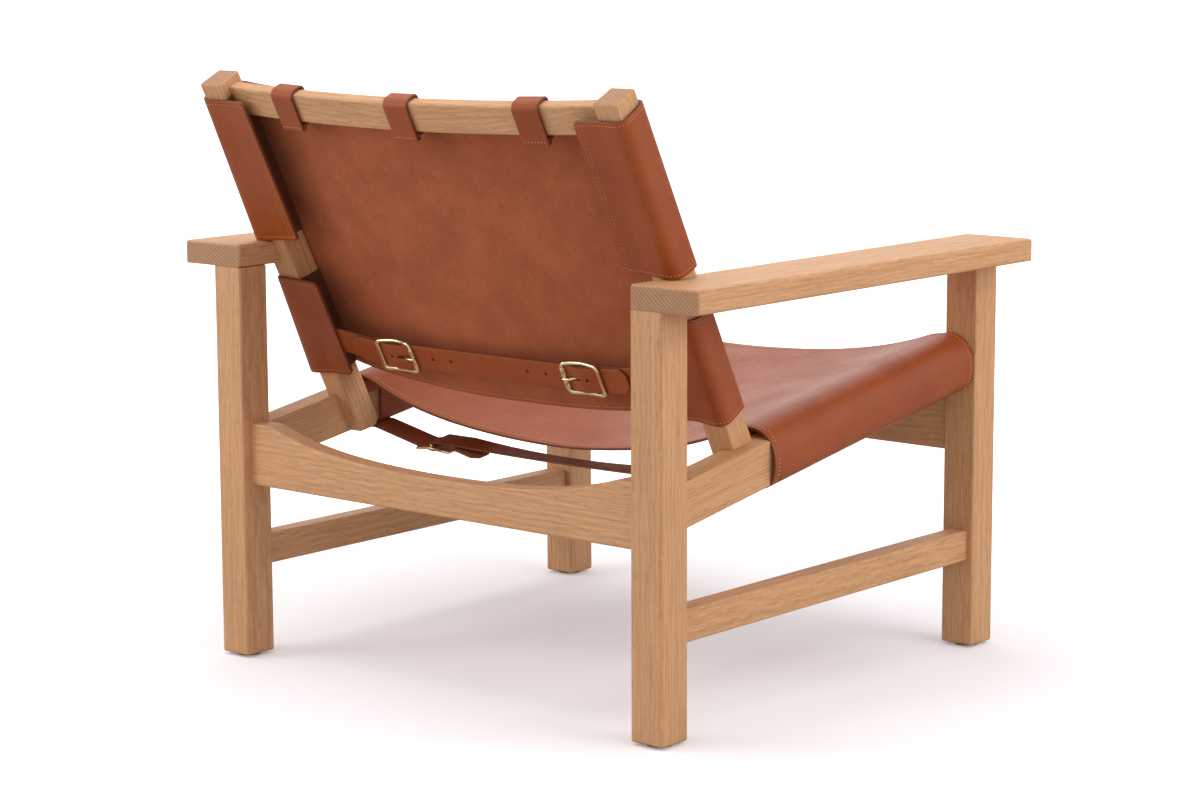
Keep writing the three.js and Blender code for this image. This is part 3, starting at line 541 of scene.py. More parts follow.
class Finish(Nodes):
    """A material under construction."""

    def __init__(self, name):
        self.material = bpy.data.materials.new(name)
        super().__init__(self.material)
        self.shader = self.tree.nodes["Principled BSDF"]

    def surface(self, **values):
        """Inputs of the shader, with underscores for spaces."""
        for name, value in values.items():
            self.set(self.shader.inputs[name.replace("_", " ")], value)

    def spots(self, coordinates, scale, stretch=(1, 1, 1), detail=3.0, roughness=0.5):
        """Noise between 0 and 1, stretched along the axes."""
        mapped = self.add("ShaderNodeMapping", {"Vector": coordinates, "Scale": stretch})
        values = {"Scale": scale, "Detail": detail, "Roughness": roughness}
        values["Vector"] = mapped.outputs["Vector"]
        return self.add("ShaderNodeTexNoise", values).outputs["Fac"]

    def bump(self, height, distance, strength):
        """Relief of the surface."""
        values = {"Height": height, "Distance": distance, "Strength": strength}
        self.surface(Normal=self.add("ShaderNodeBump", values).outputs["Normal"])


def rgba(value):
    """An opaque colour for a socket."""
    return (*value, 1.0)


def oak_finish(name, coordinates_of):
    """Oiled oak: growth rings round a distant pith, fibres and open pores along the grain."""
    colours = sizes("finishes")
    oak = Finish(name)
    grain = coordinates_of(oak)
    waver = oak.spots(grain, 1.0, stretch=(3, 26, 26), detail=2)
    ring_waves = oak.add(
        "ShaderNodeTexWave",
        {"Vector": grain, "Scale": 84.0, "Distortion": 5.0, "Detail": 2.0, "Detail Scale": 0.35},
        wave_type="RINGS", rings_direction="X", wave_profile="SAW",
    ).outputs["Fac"]
    late = oak.span(ring_waves, 0.45, 1.0)
    bands = oak.spots(grain, 1.0, stretch=(11, 250, 250), detail=3, roughness=0.6)
    fibres = oak.spots(grain, 1.0, stretch=(18, 720, 720), detail=4, roughness=0.6)
    pores = oak.spots(grain, 1.0, stretch=(50, 1300, 1300), detail=2, roughness=0.5)
    pore = oak.span(pores, 0.57, 0.70)
    streak = oak.sum(oak.span(fibres, 0.35, 0.72, 0, 0.42), oak.span(bands, 0.36, 0.68), 0.38)
    streak = oak.sum(oak.sum(streak, late, 0.30), oak.span(waver, 0.35, 0.7), 0.14)
    body = oak.blend(streak, rgba(colours.oak), rgba(colours.oak_late))
    pored = oak.blend(oak.sum(0.0, pore, 0.5), body, rgba(colours.oak_pore))
    sawn = oak.blend(oak.sum(0.38, late, 0.42), body, rgba(colours.oak_end))
    end = oak.add("ShaderNodeAttribute", attribute_name="end_grain").outputs["Fac"]
    oak.surface(
        Base_Color=oak.blend(end, pored, sawn),
        Roughness=oak.span(fibres, 0.3, 0.7, 0.48, 0.64),
        Specular_IOR_Level=0.45,
    )
    oak.bump(oak.sum(oak.sum(0.0, fibres, 0.4), pore, -1.0), 0.00018, 0.5)
    return oak.material


def along_grain(finish):
    """The place of a point along and across a timber's grain."""
    return finish.add("ShaderNodeAttribute", attribute_name="grain").outputs["Vector"]


def in_place(finish):
    """The place of a point in the chair."""
    return finish.add("ShaderNodeTexCoord").outputs["Object"]


def leather_grain(name):
    """Smooth waxed grain side: cloudy dye, fine pebbling and a soft gloss."""
    colours = sizes("finishes")
    hide = Finish(name)
    place = in_place(hide)
    clouds = hide.spots(place, 14.0, detail=5, roughness=0.6)
    fine = hide.spots(place, 160.0, detail=3)
    shade = hide.sum(hide.span(clouds, 0.32, 0.68, 0.0, 0.75), hide.span(fine, 0.3, 0.7), 0.22)
    pebbles = hide.add(
        "ShaderNodeTexVoronoi", {"Vector": place, "Scale": 950.0}, feature="DISTANCE_TO_EDGE"
    ).outputs["Distance"]
    creases = hide.spots(place, 420.0, detail=3, roughness=0.6)
    hide.surface(
        Base_Color=hide.blend(shade, rgba(colours.leather), rgba(colours.leather_deep)),
        Roughness=hide.span(hide.sum(clouds, fine, 0.6), 0.5, 1.1, 0.36, 0.52),
        Specular_IOR_Level=0.35,
    )
    hide.bump(hide.sum(hide.span(pebbles, 0.0, 0.25), creases, 0.8), 0.00010, 0.4)
    return hide.material


def leather_flesh(name):
    """Brushed flesh side: matt, mottled and fibrous."""
    colours = sizes("finishes")
    hide = Finish(name)
    place = in_place(hide)
    clouds = hide.spots(place, 13.0, detail=6, roughness=0.66)
    flecks = hide.spots(place, 260.0, detail=4, roughness=0.65)
    nap = hide.spots(place, 1500.0, detail=2)
    shade = hide.sum(hide.span(clouds, 0.34, 0.66, 0, 0.62), hide.span(flecks, 0.3, 0.7), 0.34)
    hide.surface(
        Base_Color=hide.blend(shade, rgba(colours.flesh), rgba(colours.flesh_deep)),
        Roughness=hide.span(flecks, 0.3, 0.7, 0.78, 0.92),
        Specular_IOR_Level=0.2,
        Sheen_Weight=0.10,
        Sheen_Roughness=0.5,
        Sheen_Tint=(1.0, 0.66, 0.5, 1.0),
    )
    hide.bump(hide.sum(flecks, nap, 0.7), 0.00022, 0.6)
    return hide.material


def mottled(name, shade, factor, scale, detail, rough, depth):
    """A plain surface that varies between a shade and a multiple of it."""
    plain = Finish(name)
    layers = plain.spots(in_place(plain), scale, detail=detail)
    plain.surface(
        Base_Color=plain.blend(layers, rgba(shade), rgba([factor * part for part in shade])),
        Roughness=plain.span(layers, 0.3, 0.7, *rough),
    )
    plain.bump(layers, depth, 0.5)
    return plain.material


def burnished(name, shade):
    """Burnished dark leather; on the sleeves' linings its darkness is painted shade."""
    return mottled(name, shade, 1.6, scale=600.0, detail=3, rough=(0.42, 0.62), depth=0.0002)


def waxed_thread(name):
    """Twisted waxed thread."""
    shade = sizes("finishes").thread
    return mottled(name, shade, 0.8, scale=900.0, detail=2, rough=(0.5, 0.7), depth=0.0002)


def brass_finish(name):
    """Polished brass with fine handling marks."""
    colours = sizes("finishes")
    brass = Finish(name)
    place = in_place(brass)
    tarnish = brass.spots(place, 120.0, detail=3)
    marks = brass.spots(place, 900.0, stretch=(1, 1, 0.15), detail=2)
    brass.surface(
        Base_Color=brass.blend(tarnish, rgba(colours.brass), rgba([0.88 * c for c in colours.brass])),
        Metallic=1.0,
        Roughness=brass.span(brass.sum(tarnish, marks, 0.5), 0.4, 1.1, 0.2, 0.36),
    )
    brass.bump(marks, 0.00006, 0.4)
    return brass.material


def glide_finish(name):
    """Moulded pads, lightly grained."""
    shade = sizes("finishes").glide
    return mottled(name, shade, 1.5, scale=1400.0, detail=2, rough=(0.6, 0.8), depth=0.0001)


FINISH_MAKERS = {
    "oak_timber": lambda name: oak_finish(name, along_grain),
    "oak_dowel": lambda name: oak_finish(name, in_place),
    "hide_grain": leather_grain,
    "hide_flesh": leather_flesh,
    "hide_edge": lambda name: burnished(name, sizes("finishes").edge),
    # The linings' finish is painted shade: dark burnished leather in place of the shadow inside the
    # sleeves
    "hide_lining": lambda name: burnished(name, sizes("finishes").lining),
    "waxed_thread": waxed_thread,
    "brass": brass_finish,
    "glide_pad": glide_finish,
}


def finish_named(name):
    """The chair's own material of that name, made on first use."""
    return bpy.data.materials.get(name) or FINISH_MAKERS[name](name)


def dress(piece, *finishes):
    """Gives a piece its finishes, in the order of its material slots."""
    piece.data.materials.clear()
    for name in finishes:
        piece.data.materials.append(finish_named(name))


def belongs(piece, slot, *nodes, body=BODY):
    """Rides a piece on a body, in place of packed nodes."""
    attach(piece, body)
    if nodes:
        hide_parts(*nodes)


# Oak


def lay_grain(timber, along, stock):
    """Stores where each vertex lies along and across the grain, in a stock whose pith is at zero."""
    along = along.normalized()
    across = (Z if abs(along.z) < 0.7 else X).cross(along).normalized()
    third = along.cross(across)
    values = []
    for vertex in timber.data.vertices:
        values.extend(vertex.co.dot(axis) + at for axis, at in zip((along, across, third), stock))
    attribute = timber.data.attributes.new("grain", "FLOAT_VECTOR", "POINT")
    attribute.data.foreach_set("vector", values)
    sawn = [abs(face.normal.dot(along)) ** 4 for face in timber.data.polygons]
    timber.data.attributes.new("end_grain", "FLOAT", "FACE").data.foreach_set("value", sawn)


def finish_oak(timber, node, along, stock, crisp, ease=None):
    """Eases, grains and places a timber whose joints stay crisp."""
    soften(timber, ease or sizes("timber").ease, crisp=crisp)
    lay_grain(timber, along, stock)
    dress(timber, "oak_timber")
    belongs(timber, "oak", node)


def finish_pair(timber, name, along, stocks, crisp, ease=None):
    """Places a timber on both sides of the chair, each cut from its own stock."""
    for (side, sign), stock in zip(SIDES, stocks):
        node = f"{name}_{side}"
        twin = copy_of(timber, f"oak_{node}", Matrix.Diagonal((sign, 1, 1, 1)))
        finish_oak(twin, node, along, stock, crisp, ease)
    discard(timber)


def sloped_block(name, low, high):
    """A block along the seat rails, with its heights taken from the rails' tops."""
    piece = block(name, low, high)
    with editing(piece):
        for y in (low[1], high[1]):
            choose(piece, "VERT", lambda vertex: abs(vertex.co.y - y) < MM)
            bpy.ops.transform.translate(value=(0, 0, seat_top(y)))
    return piece


def reshape_along(rail, cuts, move):
    """Cuts a rail across many times and moves its points."""
    with editing(rail):
        choose(rail, "EDGE", lambda edge: runs_along(edge, X))
        bpy.ops.mesh.subdivide(number_cuts=cuts)
        reshape(rail, move)


class ChairOperator(bpy.types.Operator):
    """Base of the chair's operators"""

    bl_options = {"REGISTER", "UNDO"}


def under_arm(edge):
    """Whether an edge lies against the underside of an arm."""
    return all(vertex.co.z > ARM_LOW.z - MM for vertex in edge.verts)


def at_ends(axis, low, high):
    """A test for edges that lie at either end of a timber."""
    def test(edge):
        places = [vertex.co[axis] for vertex in edge.verts]
        return max(places) < low + MM / 10 or min(places) > high - MM / 10
    return test


class CHAIR_OT_legs(ChairOperator):
    """Four square legs, tenoned into the arms"""

    bl_idname = "chair.legs"
    bl_label = "Legs"

    def execute(self, context):
        leg = block("leg", LEG_LOW, (LEG_HIGH.x, LEG_HIGH.y, ARM_LOW.z - sizes("timber").gap))
        stocks = ((0.1, 0.31, -0.02), (0.9, -0.23, 0.05), (1.7, 0.35, 0.09), (2.6, -0.29, -0.07))
        places = [(end, side) for end in ENDS for side, _ in SIDES]
        for (end, side), stock in zip(places, stocks):
            node = f"leg_{end}_{side}"
            move = Matrix.Translation(corners(node)[0] - LEG_LOW)
            finish_oak(copy_of(leg, f"oak_{node}", move), node, Z, stock, under_arm)
        discard(leg)
        return {"FINISHED"}


class CHAIR_OT_armrests(ChairOperator):
    """Flat arms on the leg tops, notched at the inner edge for the back posts"""

    bl_idname = "chair.armrests"
    bl_label = "Armrests"

    def stays_crisp(self, edge):
        """Whether an edge lies against a post, or at an end on top of a leg."""
        if runs_along(edge, X) and all(vertex.co.z < ARM_LOW.z + MM for vertex in edge.verts):
            return True
        half = sizes("timber").post_depth / 2 + MM
        to_back = back_frame().inverted()
        return all(
            abs((to_back @ vertex.co).y) < half and abs(vertex.co.x) < POST_HIGH.x + MM
            for vertex in edge.verts
        )

    def execute(self, context):
        timber = sizes("timber")
        arm = block("arm", ARM_LOW, ARM_HIGH)
        half = timber.post_depth / 2 + timber.gap
        low = (POST_LOW.x - timber.gap, -half, -2 * half)
        high = (POST_HIGH.x + timber.gap, half, 2 * half)
        carve(arm, block("notch", low, high, back_frame()))
        stocks = ((3.3, -0.37, 0.46), (4.1, 0.43, 0.40))
        finish_pair(arm, "armrest", Y, stocks, self.stays_crisp, timber.arm_ease)
        return {"FINISHED"}


class CHAIR_OT_cross_rails(ChairOperator):
    """Front and rear rails, hollowed along the top"""

    bl_idname = "chair.cross_rails"
    bl_label = "Cross rails"
    cuts: count("Cuts", "Cuts along a rail", 95)
    halvings: count("Halvings", "Steps of the search along the hollow's curve", 20)
    crest: FloatProperty(name="Crest", description="Where the edge starts to fall", default=0.93)
    dip: FloatProperty(name="Dip", description="Where the hollow levels out", default=0.80)

    def hollow_at(self, x, end):
        """How far the top edge dips at a place between the legs."""
        timber = sizes("timber")
        reach = end - timber.shoulder
        near, far = 0.0, 1.0
        for _ in range(self.halvings):
            share = (near + far) / 2
            rest = 1 - share
            across = rest ** 3 + 3 * rest ** 2 * share * self.crest + 3 * rest * share ** 2 * self.dip
            if across * reach > abs(x):
                near = share
            else:
                far = share
        return timber.hollow * share ** 2 * (3 - 2 * share)

    def execute(self, context):
        end = LEG_LOW.x - sizes("timber").gap
        for name, stock in zip(ENDS, ((5.2, -0.25, 0.02), (6.3, 0.27, 0.10))):
            node = f"{name}_rail"
            low, high = corners(node)
            rail = block(f"oak_{node}", (-end, low.y, low.z), (end, high.y, high.z))
            middle = (low.z + high.z) / 2

            def hollow_out(place, middle=middle):
                if place.z > middle:
                    place.z -= self.hollow_at(place.x, end)

            reshape_along(rail, self.cuts, hollow_out)
            finish_oak(rail, node, X, stock, at_ends(0, -end, end))
        return {"FINISHED"}


class CHAIR_OT_seat_rails(ChairOperator):
    """Sloping rails that carry the seat"""

    bl_idname = "chair.seat_rails"
    bl_label = "Seat rails"

    def execute(self, context):
        timber = sizes("timber")
        front, rear = FRONT_FACE_Y + timber.gap, REAR_FACE_Y - timber.gap
        rail = sloped_block("rail", (RAIL_LOW.x, front, -rail_drop()), (RAIL_HIGH.x, rear, 0))
        along = Vector((0, 1, -seat_slope()))
        stocks = ((7.4, 0.28, 0.11), (8.1, -0.31, 0.06))
        finish_pair(rail, "seat_rail", along, stocks, at_ends(1, front, rear))
        return {"FINISHED"}


class CHAIR_OT_stretchers(ChairOperator):
    """Low side stretchers"""

    bl_idname = "chair.stretchers"
    bl_label = "Stretchers"

    def execute(self, context):
        timber = sizes("timber")
        low, high = corners("stretcher_left")
        front, rear = FRONT_FACE_Y + timber.gap, REAR_FACE_Y - timber.gap
        bar = block("stretcher", (low.x, front, low.z), (high.x, rear, high.z))
        stocks = ((9.5, -0.26, 0.12), (10.2, 0.24, 0.05))
        finish_pair(bar, "stretcher", Y, stocks, at_ends(1, front, rear))
        return {"FINISHED"}


class CHAIR_OT_back_posts(ChairOperator):
    """Leaning posts, half-lapped on the seat rails and housed in the arms"""

    bl_idname = "chair.back_posts"
    bl_label = "Back posts"

    def in_lap(self, edge):
        """Whether an edge lies against a seat rail."""
        return all(
            abs(vertex.co.x) > LEG_LOW.x - MM and vertex.co.z < seat_top(vertex.co.y) + MM
            for vertex in edge.verts
        )

    def execute(self, context):
        timber = sizes("timber")
        half = timber.post_depth / 2
        head = post_head()
        low = (POST_LOW.x, -half, -2 * head)
        post = block("post", low, (POST_HIGH.x, half, head), back_frame())
        drop = rail_drop()
        foot_y = post_front(drop)
        foot = Vector((0, foot_y, seat_top(foot_y) - drop))
        downward = Vector((0, -seat_slope(), -1)).normalized()
        with editing(post):
            bpy.ops.mesh.select_all(action="SELECT")
            bpy.ops.mesh.bisect(plane_co=foot, plane_no=downward, use_fill=True, clear_outer=True)
            choose(post, "EDGE", lambda edge: runs_along(edge, X)
                   and (edge.verts[0].co.yz - foot.yz).length < timber.ease)
            bpy.ops.mesh.bevel(offset=timber.foot_round, segments=8, affect="EDGES")
        lap_low = (LEG_LOW.x - timber.gap, FRONT_FACE_Y, -2 * drop)
        carve(post, sloped_block("lap", lap_low, (RAIL_HIGH.x, REAR_FACE_Y, timber.gap)))
        along = back_frame().to_3x3() @ Z
        stocks = ((11.3, 0.26, 0.13), (12.4, -0.28, 0.04))
        finish_pair(post, "back_post", along, stocks, self.in_lap, timber.post_ease)
        return {"FINISHED"}


class CHAIR_OT_top_rail(ChairOperator):
    """Bowed rail between the heads of the posts"""

    bl_idname = "chair.top_rail"
    bl_label = "Top rail"
    cuts: count("Cuts", "Cuts along the rail", 47)

    def execute(self, context):
        timber = sizes("timber")
        top = post_head() - timber.top_below
        rear = timber.post_depth / 2 - timber.top_setback
        end = POST_LOW.x - timber.gap
        low = (-end, rear - timber.top_depth, top - timber.top_height)
        rail = block("oak_back_top_rail", low, (end, rear, top))

        def bow(place):
            place.y += bow_at(place.x)

        reshape_along(rail, self.cuts, bow)
        rail.matrix_world = back_frame()
        settle(rail)
        finish_oak(rail, "back_top_rail", X, (13.5, 0.22, -0.64), at_ends(0, -end, end))
        return {"FINISHED"}


class CHAIR_OT_dowels_and_glides(ChairOperator):
    """Finishes of the packed dowels and of the pads under the legs"""

    bl_idname = "chair.dowels_and_glides"
    bl_label = "Dowels and glides"

    def execute(self, context):
        for name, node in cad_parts.items():
            if "dowel" in name:
                dress_packed(node, "oak_dowel")
            elif name.startswith("glide"):
                dress_packed(node, "glide_pad")
        return {"FINISHED"}


def dress_packed(node, name):
    """A finish for a packed node whose shape is right."""
    for slot in node.material_slots:
        slot.link = "OBJECT"
        slot.material = finish_named(name)


# Hides

# Longest cells of a hide, along its section and along its rows
HIDE_STEP = 0.0062
ROW_STEP = 0.0055


def fillet(points, steps=6):
    """A line through corners (a, b, radius), with each corner rounded by its radius."""
    line = []
    for index, (a, b, radius) in enumerate(points):
        corner = Vector((a, b))
        if radius == 0 or index in (0, len(points) - 1):
            line.append(corner)
            continue
        before = (Vector(points[index - 1][:2]) - corner).normalized()
        after = (Vector(points[index + 1][:2]) - corner).normalized()
        half = before.angle(after) / 2
        reach = radius / math.tan(half)
        centre = corner + (before + after).normalized() * (radius / math.sin(half))
        start = corner + before * reach - centre
        sweep = start.angle_signed(corner + after * reach - centre)
        for step in range(steps + 1):
            turned = start.copy()
            turned.rotate(Matrix.Rotation(-sweep * step / steps, 2))
            line.append(centre + turned)
    return line


def bezier(start, first, second, end, steps):
    """Points along a cubic curve."""
    points = []
    for step in range(steps + 1):
        share = step / steps
        rest = 1 - share
        points.append(
            start * rest ** 3 + first * (3 * rest ** 2 * share)
            + second * (3 * rest * share ** 2) + end * share ** 3
        )
    return points


def even(line, step):
    """The same line with no stretch longer than a step."""
    finer = [line[0]]
    for start, end in zip(line, line[1:]):
        pieces = max(1, math.ceil((end - start).length / step - 0.01))
        finer.extend(start.lerp(end, piece / pieces) for piece in range(1, pieces + 1))
    return finer


def lengths_along(line):
    """How far along a line each of its points lies."""
    travelled = [0.0]
    for start, end in zip(line, line[1:]):
        travelled.append(travelled[-1] + (end - start).length)
    return travelled


def mirrored(line):
    """The other half of a line, mirrored across the chair and run backwards."""
    return [Vector((-point.x, *point[1:])) for point in reversed(line)]


def grid_hide(name, rows, outward, keep=lambda row, column: True):
    """A sheet through rows of points, its middle facing outward, without the cells of its cut-outs."""
    mesh = bmesh.new()
    grid = [[mesh.verts.new(point) for point in row] for row in rows]
    cells = {}
    for r in range(len(grid) - 1):
        for c in range(len(grid[0]) - 1):
            if keep(r, c):
                corner = grid[r][c], grid[r][c + 1], grid[r + 1][c + 1], grid[r + 1][c]
                cells[r, c] = mesh.faces.new(corner)
    loose = [vertex for vertex in mesh.verts if not vertex.link_faces]
    bmesh.ops.delete(mesh, geom=loose, context="VERTS")
    mesh.normal_update()
    middle = cells[(len(grid) - 1) // 2, (len(grid[0]) - 1) // 2]
    if middle.normal.dot(outward) < 0:
        bmesh.ops.reverse_faces(mesh, faces=mesh.faces)
    data = bpy.data.meshes.new(name)
    mesh.to_mesh(data)
    mesh.free()
    return add_object(name, data)


def thicken(sheet, thickness, finishes=("hide_grain", "hide_flesh", "hide_edge"), edge=0.0007):
    """Gives a sheet its thickness, its two sides and softened cut edges."""
    dress(sheet, *finishes)
    finish_modifier(
        sheet, "SOLIDIFY", thickness=thickness, offset=0, use_even_offset=True,
        material_offset=1, material_offset_rim=2,
    )
    finish_modifier(
        sheet, "BEVEL", width=edge, segments=2, limit_method="ANGLE", angle_limit=math.radians(55)
    )
    take(sheet)
    bpy.ops.object.shade_smooth_by_angle(angle=math.radians(55))


def ripple(place, amount, scale):
    """Gentle unevenness of a worn hide."""
    return amount * noise.noise(Vector(place) * scale)


class SeatShape:
    """The seat sling: a hollow between the rails, an arch over each rail and a fold under it."""

    # Shares of the way to a rail: where the arch starts, and a step back that gives its slope there
    arch_start = 0.93
    arch_probe = 0.01
    # Where the underside and the inner flap start, out from the sheet's inner side
    under_start = 0.024
    flap_start = 0.008
    # How far each curve keeps its direction at its two ends
    arch_pulls = (0.040, 0.030)
    under_pulls = (0.018, 0.014)
    hollow_steps = 40
    arch_steps = 18
    under_steps = 12
    # The swell over a rail: how late it rises, and the share of the rail that it covers
    swell_power = 6
    swell_reach = 0.6
    # The worn hide's unevenness: its height, its fineness and the layer of noise
    unevenness = 0.0011
    waves = 11
    noise_level = 0.3

    def __init__(self):
        hides = sizes("hides")
        self.offset = hides.air + hides.hide / 2
        self.rear = post_front(0) - hides.seat_gap
        self.front = FRONT_FACE_Y + hides.seat_clear
        self.flap_rear = post_front(rail_drop()) - hides.flap_gap
        self.inner = RAIL_LOW.x - self.offset
        self.outer = RAIL_HIGH.x + self.offset
        self.columns = self.section()

    def section(self):
        """The line of the seat across the chair at its rear edge, with the rails' tops at zero."""
        hides = sizes("hides")
        bottom = -rail_drop() - self.offset
        side = Vector((self.outer + hides.stand, -hides.belly))
        under = Vector((self.inner + self.under_start, bottom))
        line = self.hollow()
        crest = Vector((self.arch_start * self.inner, self.hollow_at(self.arch_start)))
        leave, arrive = self.arch_pulls
        pulls = crest + leave * Vector((1, self.arch_slope())), side + Vector((0, arrive))
        line += bezier(crest, *pulls, side, self.arch_steps)
        leave, arrive = self.under_pulls
        pulls = side - Vector((0, leave)), under + Vector((arrive, 0))
        line += bezier(side, *pulls, under, self.under_steps)[1:]
        flap = fillet([
            (under.x, bottom, 0), (self.inner + self.flap_start, bottom, 0),
            (self.inner, bottom, hides.fold), (self.inner, hides.flap_top, 0),
        ])
        line = even([*line, *flap[1:]], HIDE_STEP)
        return [*mirrored(line[1:]), *line]

    def hollow(self):
        """Points from the middle of the seat to where the arch over a rail starts."""
        line = []
        for step in range(math.floor(self.arch_start * self.hollow_steps)):
            height = self.hollow_at(step / self.hollow_steps)
            line.append(Vector((self.inner * step / self.hollow_steps, height)))
        return line

    def hollow_at(self, share):
        """Height of the sag at a share of the way to a rail."""
        hides = sizes("hides")
        return self.offset + hides.swell * share ** self.swell_power - hides.sag * (1 - share ** 2)

    def arch_slope(self):
        """Slope of the hollow where the arch starts."""
        rise = self.hollow_at(self.arch_start) - self.hollow_at(self.arch_start - self.arch_probe)
        return rise / (self.arch_probe * self.inner)

    def place(self, column, y):
        """A point of the sheet at a place along the chair."""
        hides = sizes("hides")
        forward = (self.rear - y) / (self.rear - self.front)
        share = abs(column.x) / self.inner
        lift = (hides.sag - hides.front_sag) * forward * max(0, 1 - share ** 2)
        lift -= (hides.swell - hides.front_swell) * forward * self.swell_share(column)
        uneven = ripple((column.x, y, self.noise_level), self.unevenness, self.waves)
        lift += uneven * max(0, 1 - share ** 4)
        return Vector((column.x, y, seat_top(y) + column.y + lift))

    def swell_share(self, column):
        """How far a point of the section takes part in the swell over a rail."""
        hides = sizes("hides")
        across = abs(column.x)
        if across < self.inner - MM:
            return (across / self.inner) ** self.swell_power
        tall = hides.belly + hides.flap_top
        beyond = (across - self.inner) / (self.outer + hides.stand - self.inner)
        if column.y > hides.flap_top - tall * beyond:
            return max(0, 1 - beyond / self.swell_reach) ** 2
        return max(0, (column.y + hides.belly) / tall)

    def depth(self):
        """Length of the sheet along the slope."""
        return (self.rear - self.front) * math.hypot(1, seat_slope())

    def row_places(self):
        """Places of the rows along the chair, with one where the inner flaps end."""
        places = []
        for start, end in ((self.front, self.flap_rear), (self.flap_rear, self.rear)):
            steps = math.ceil((end - start) / ROW_STEP)
            places += [start + (end - start) * i / steps for i in range(steps)]
        return [*places, self.rear]


class CHAIR_OT_seat_sling(ChairOperator):
    """One hide, sleeved round both seat rails"""

    bl_idname = "chair.seat_sling"
    bl_label = "Seat sling"

    def execute(self, context):
        hides = sizes("hides")
        shape = SeatShape()
        levels = shape.row_places()
        rows = [[shape.place(column, y) for column in shape.columns] for y in levels]
        relief = shape.inner + shape.flap_start + MM / 10

        def keep(row, column):
            behind_flap = levels[row] > shape.flap_rear - MM / 10
            pair = shape.columns[column], shape.columns[column + 1]
            folded = all(shape.inner - MM < abs(p.x) < relief for p in pair)
            beside_foot = all(p.y < -hides.foot_room + MM for p in pair)
            return not (behind_flap and folded and beside_foot)

        sling = grid_hide("seat_sling_hide", rows, Z, keep)
        width = lengths_along(shape.columns)[-1]
        thicken(sling, hides.hide)
        belongs(sling, "leather", "seat_sling")
        shape.depth()
        return {"FINISHED"}


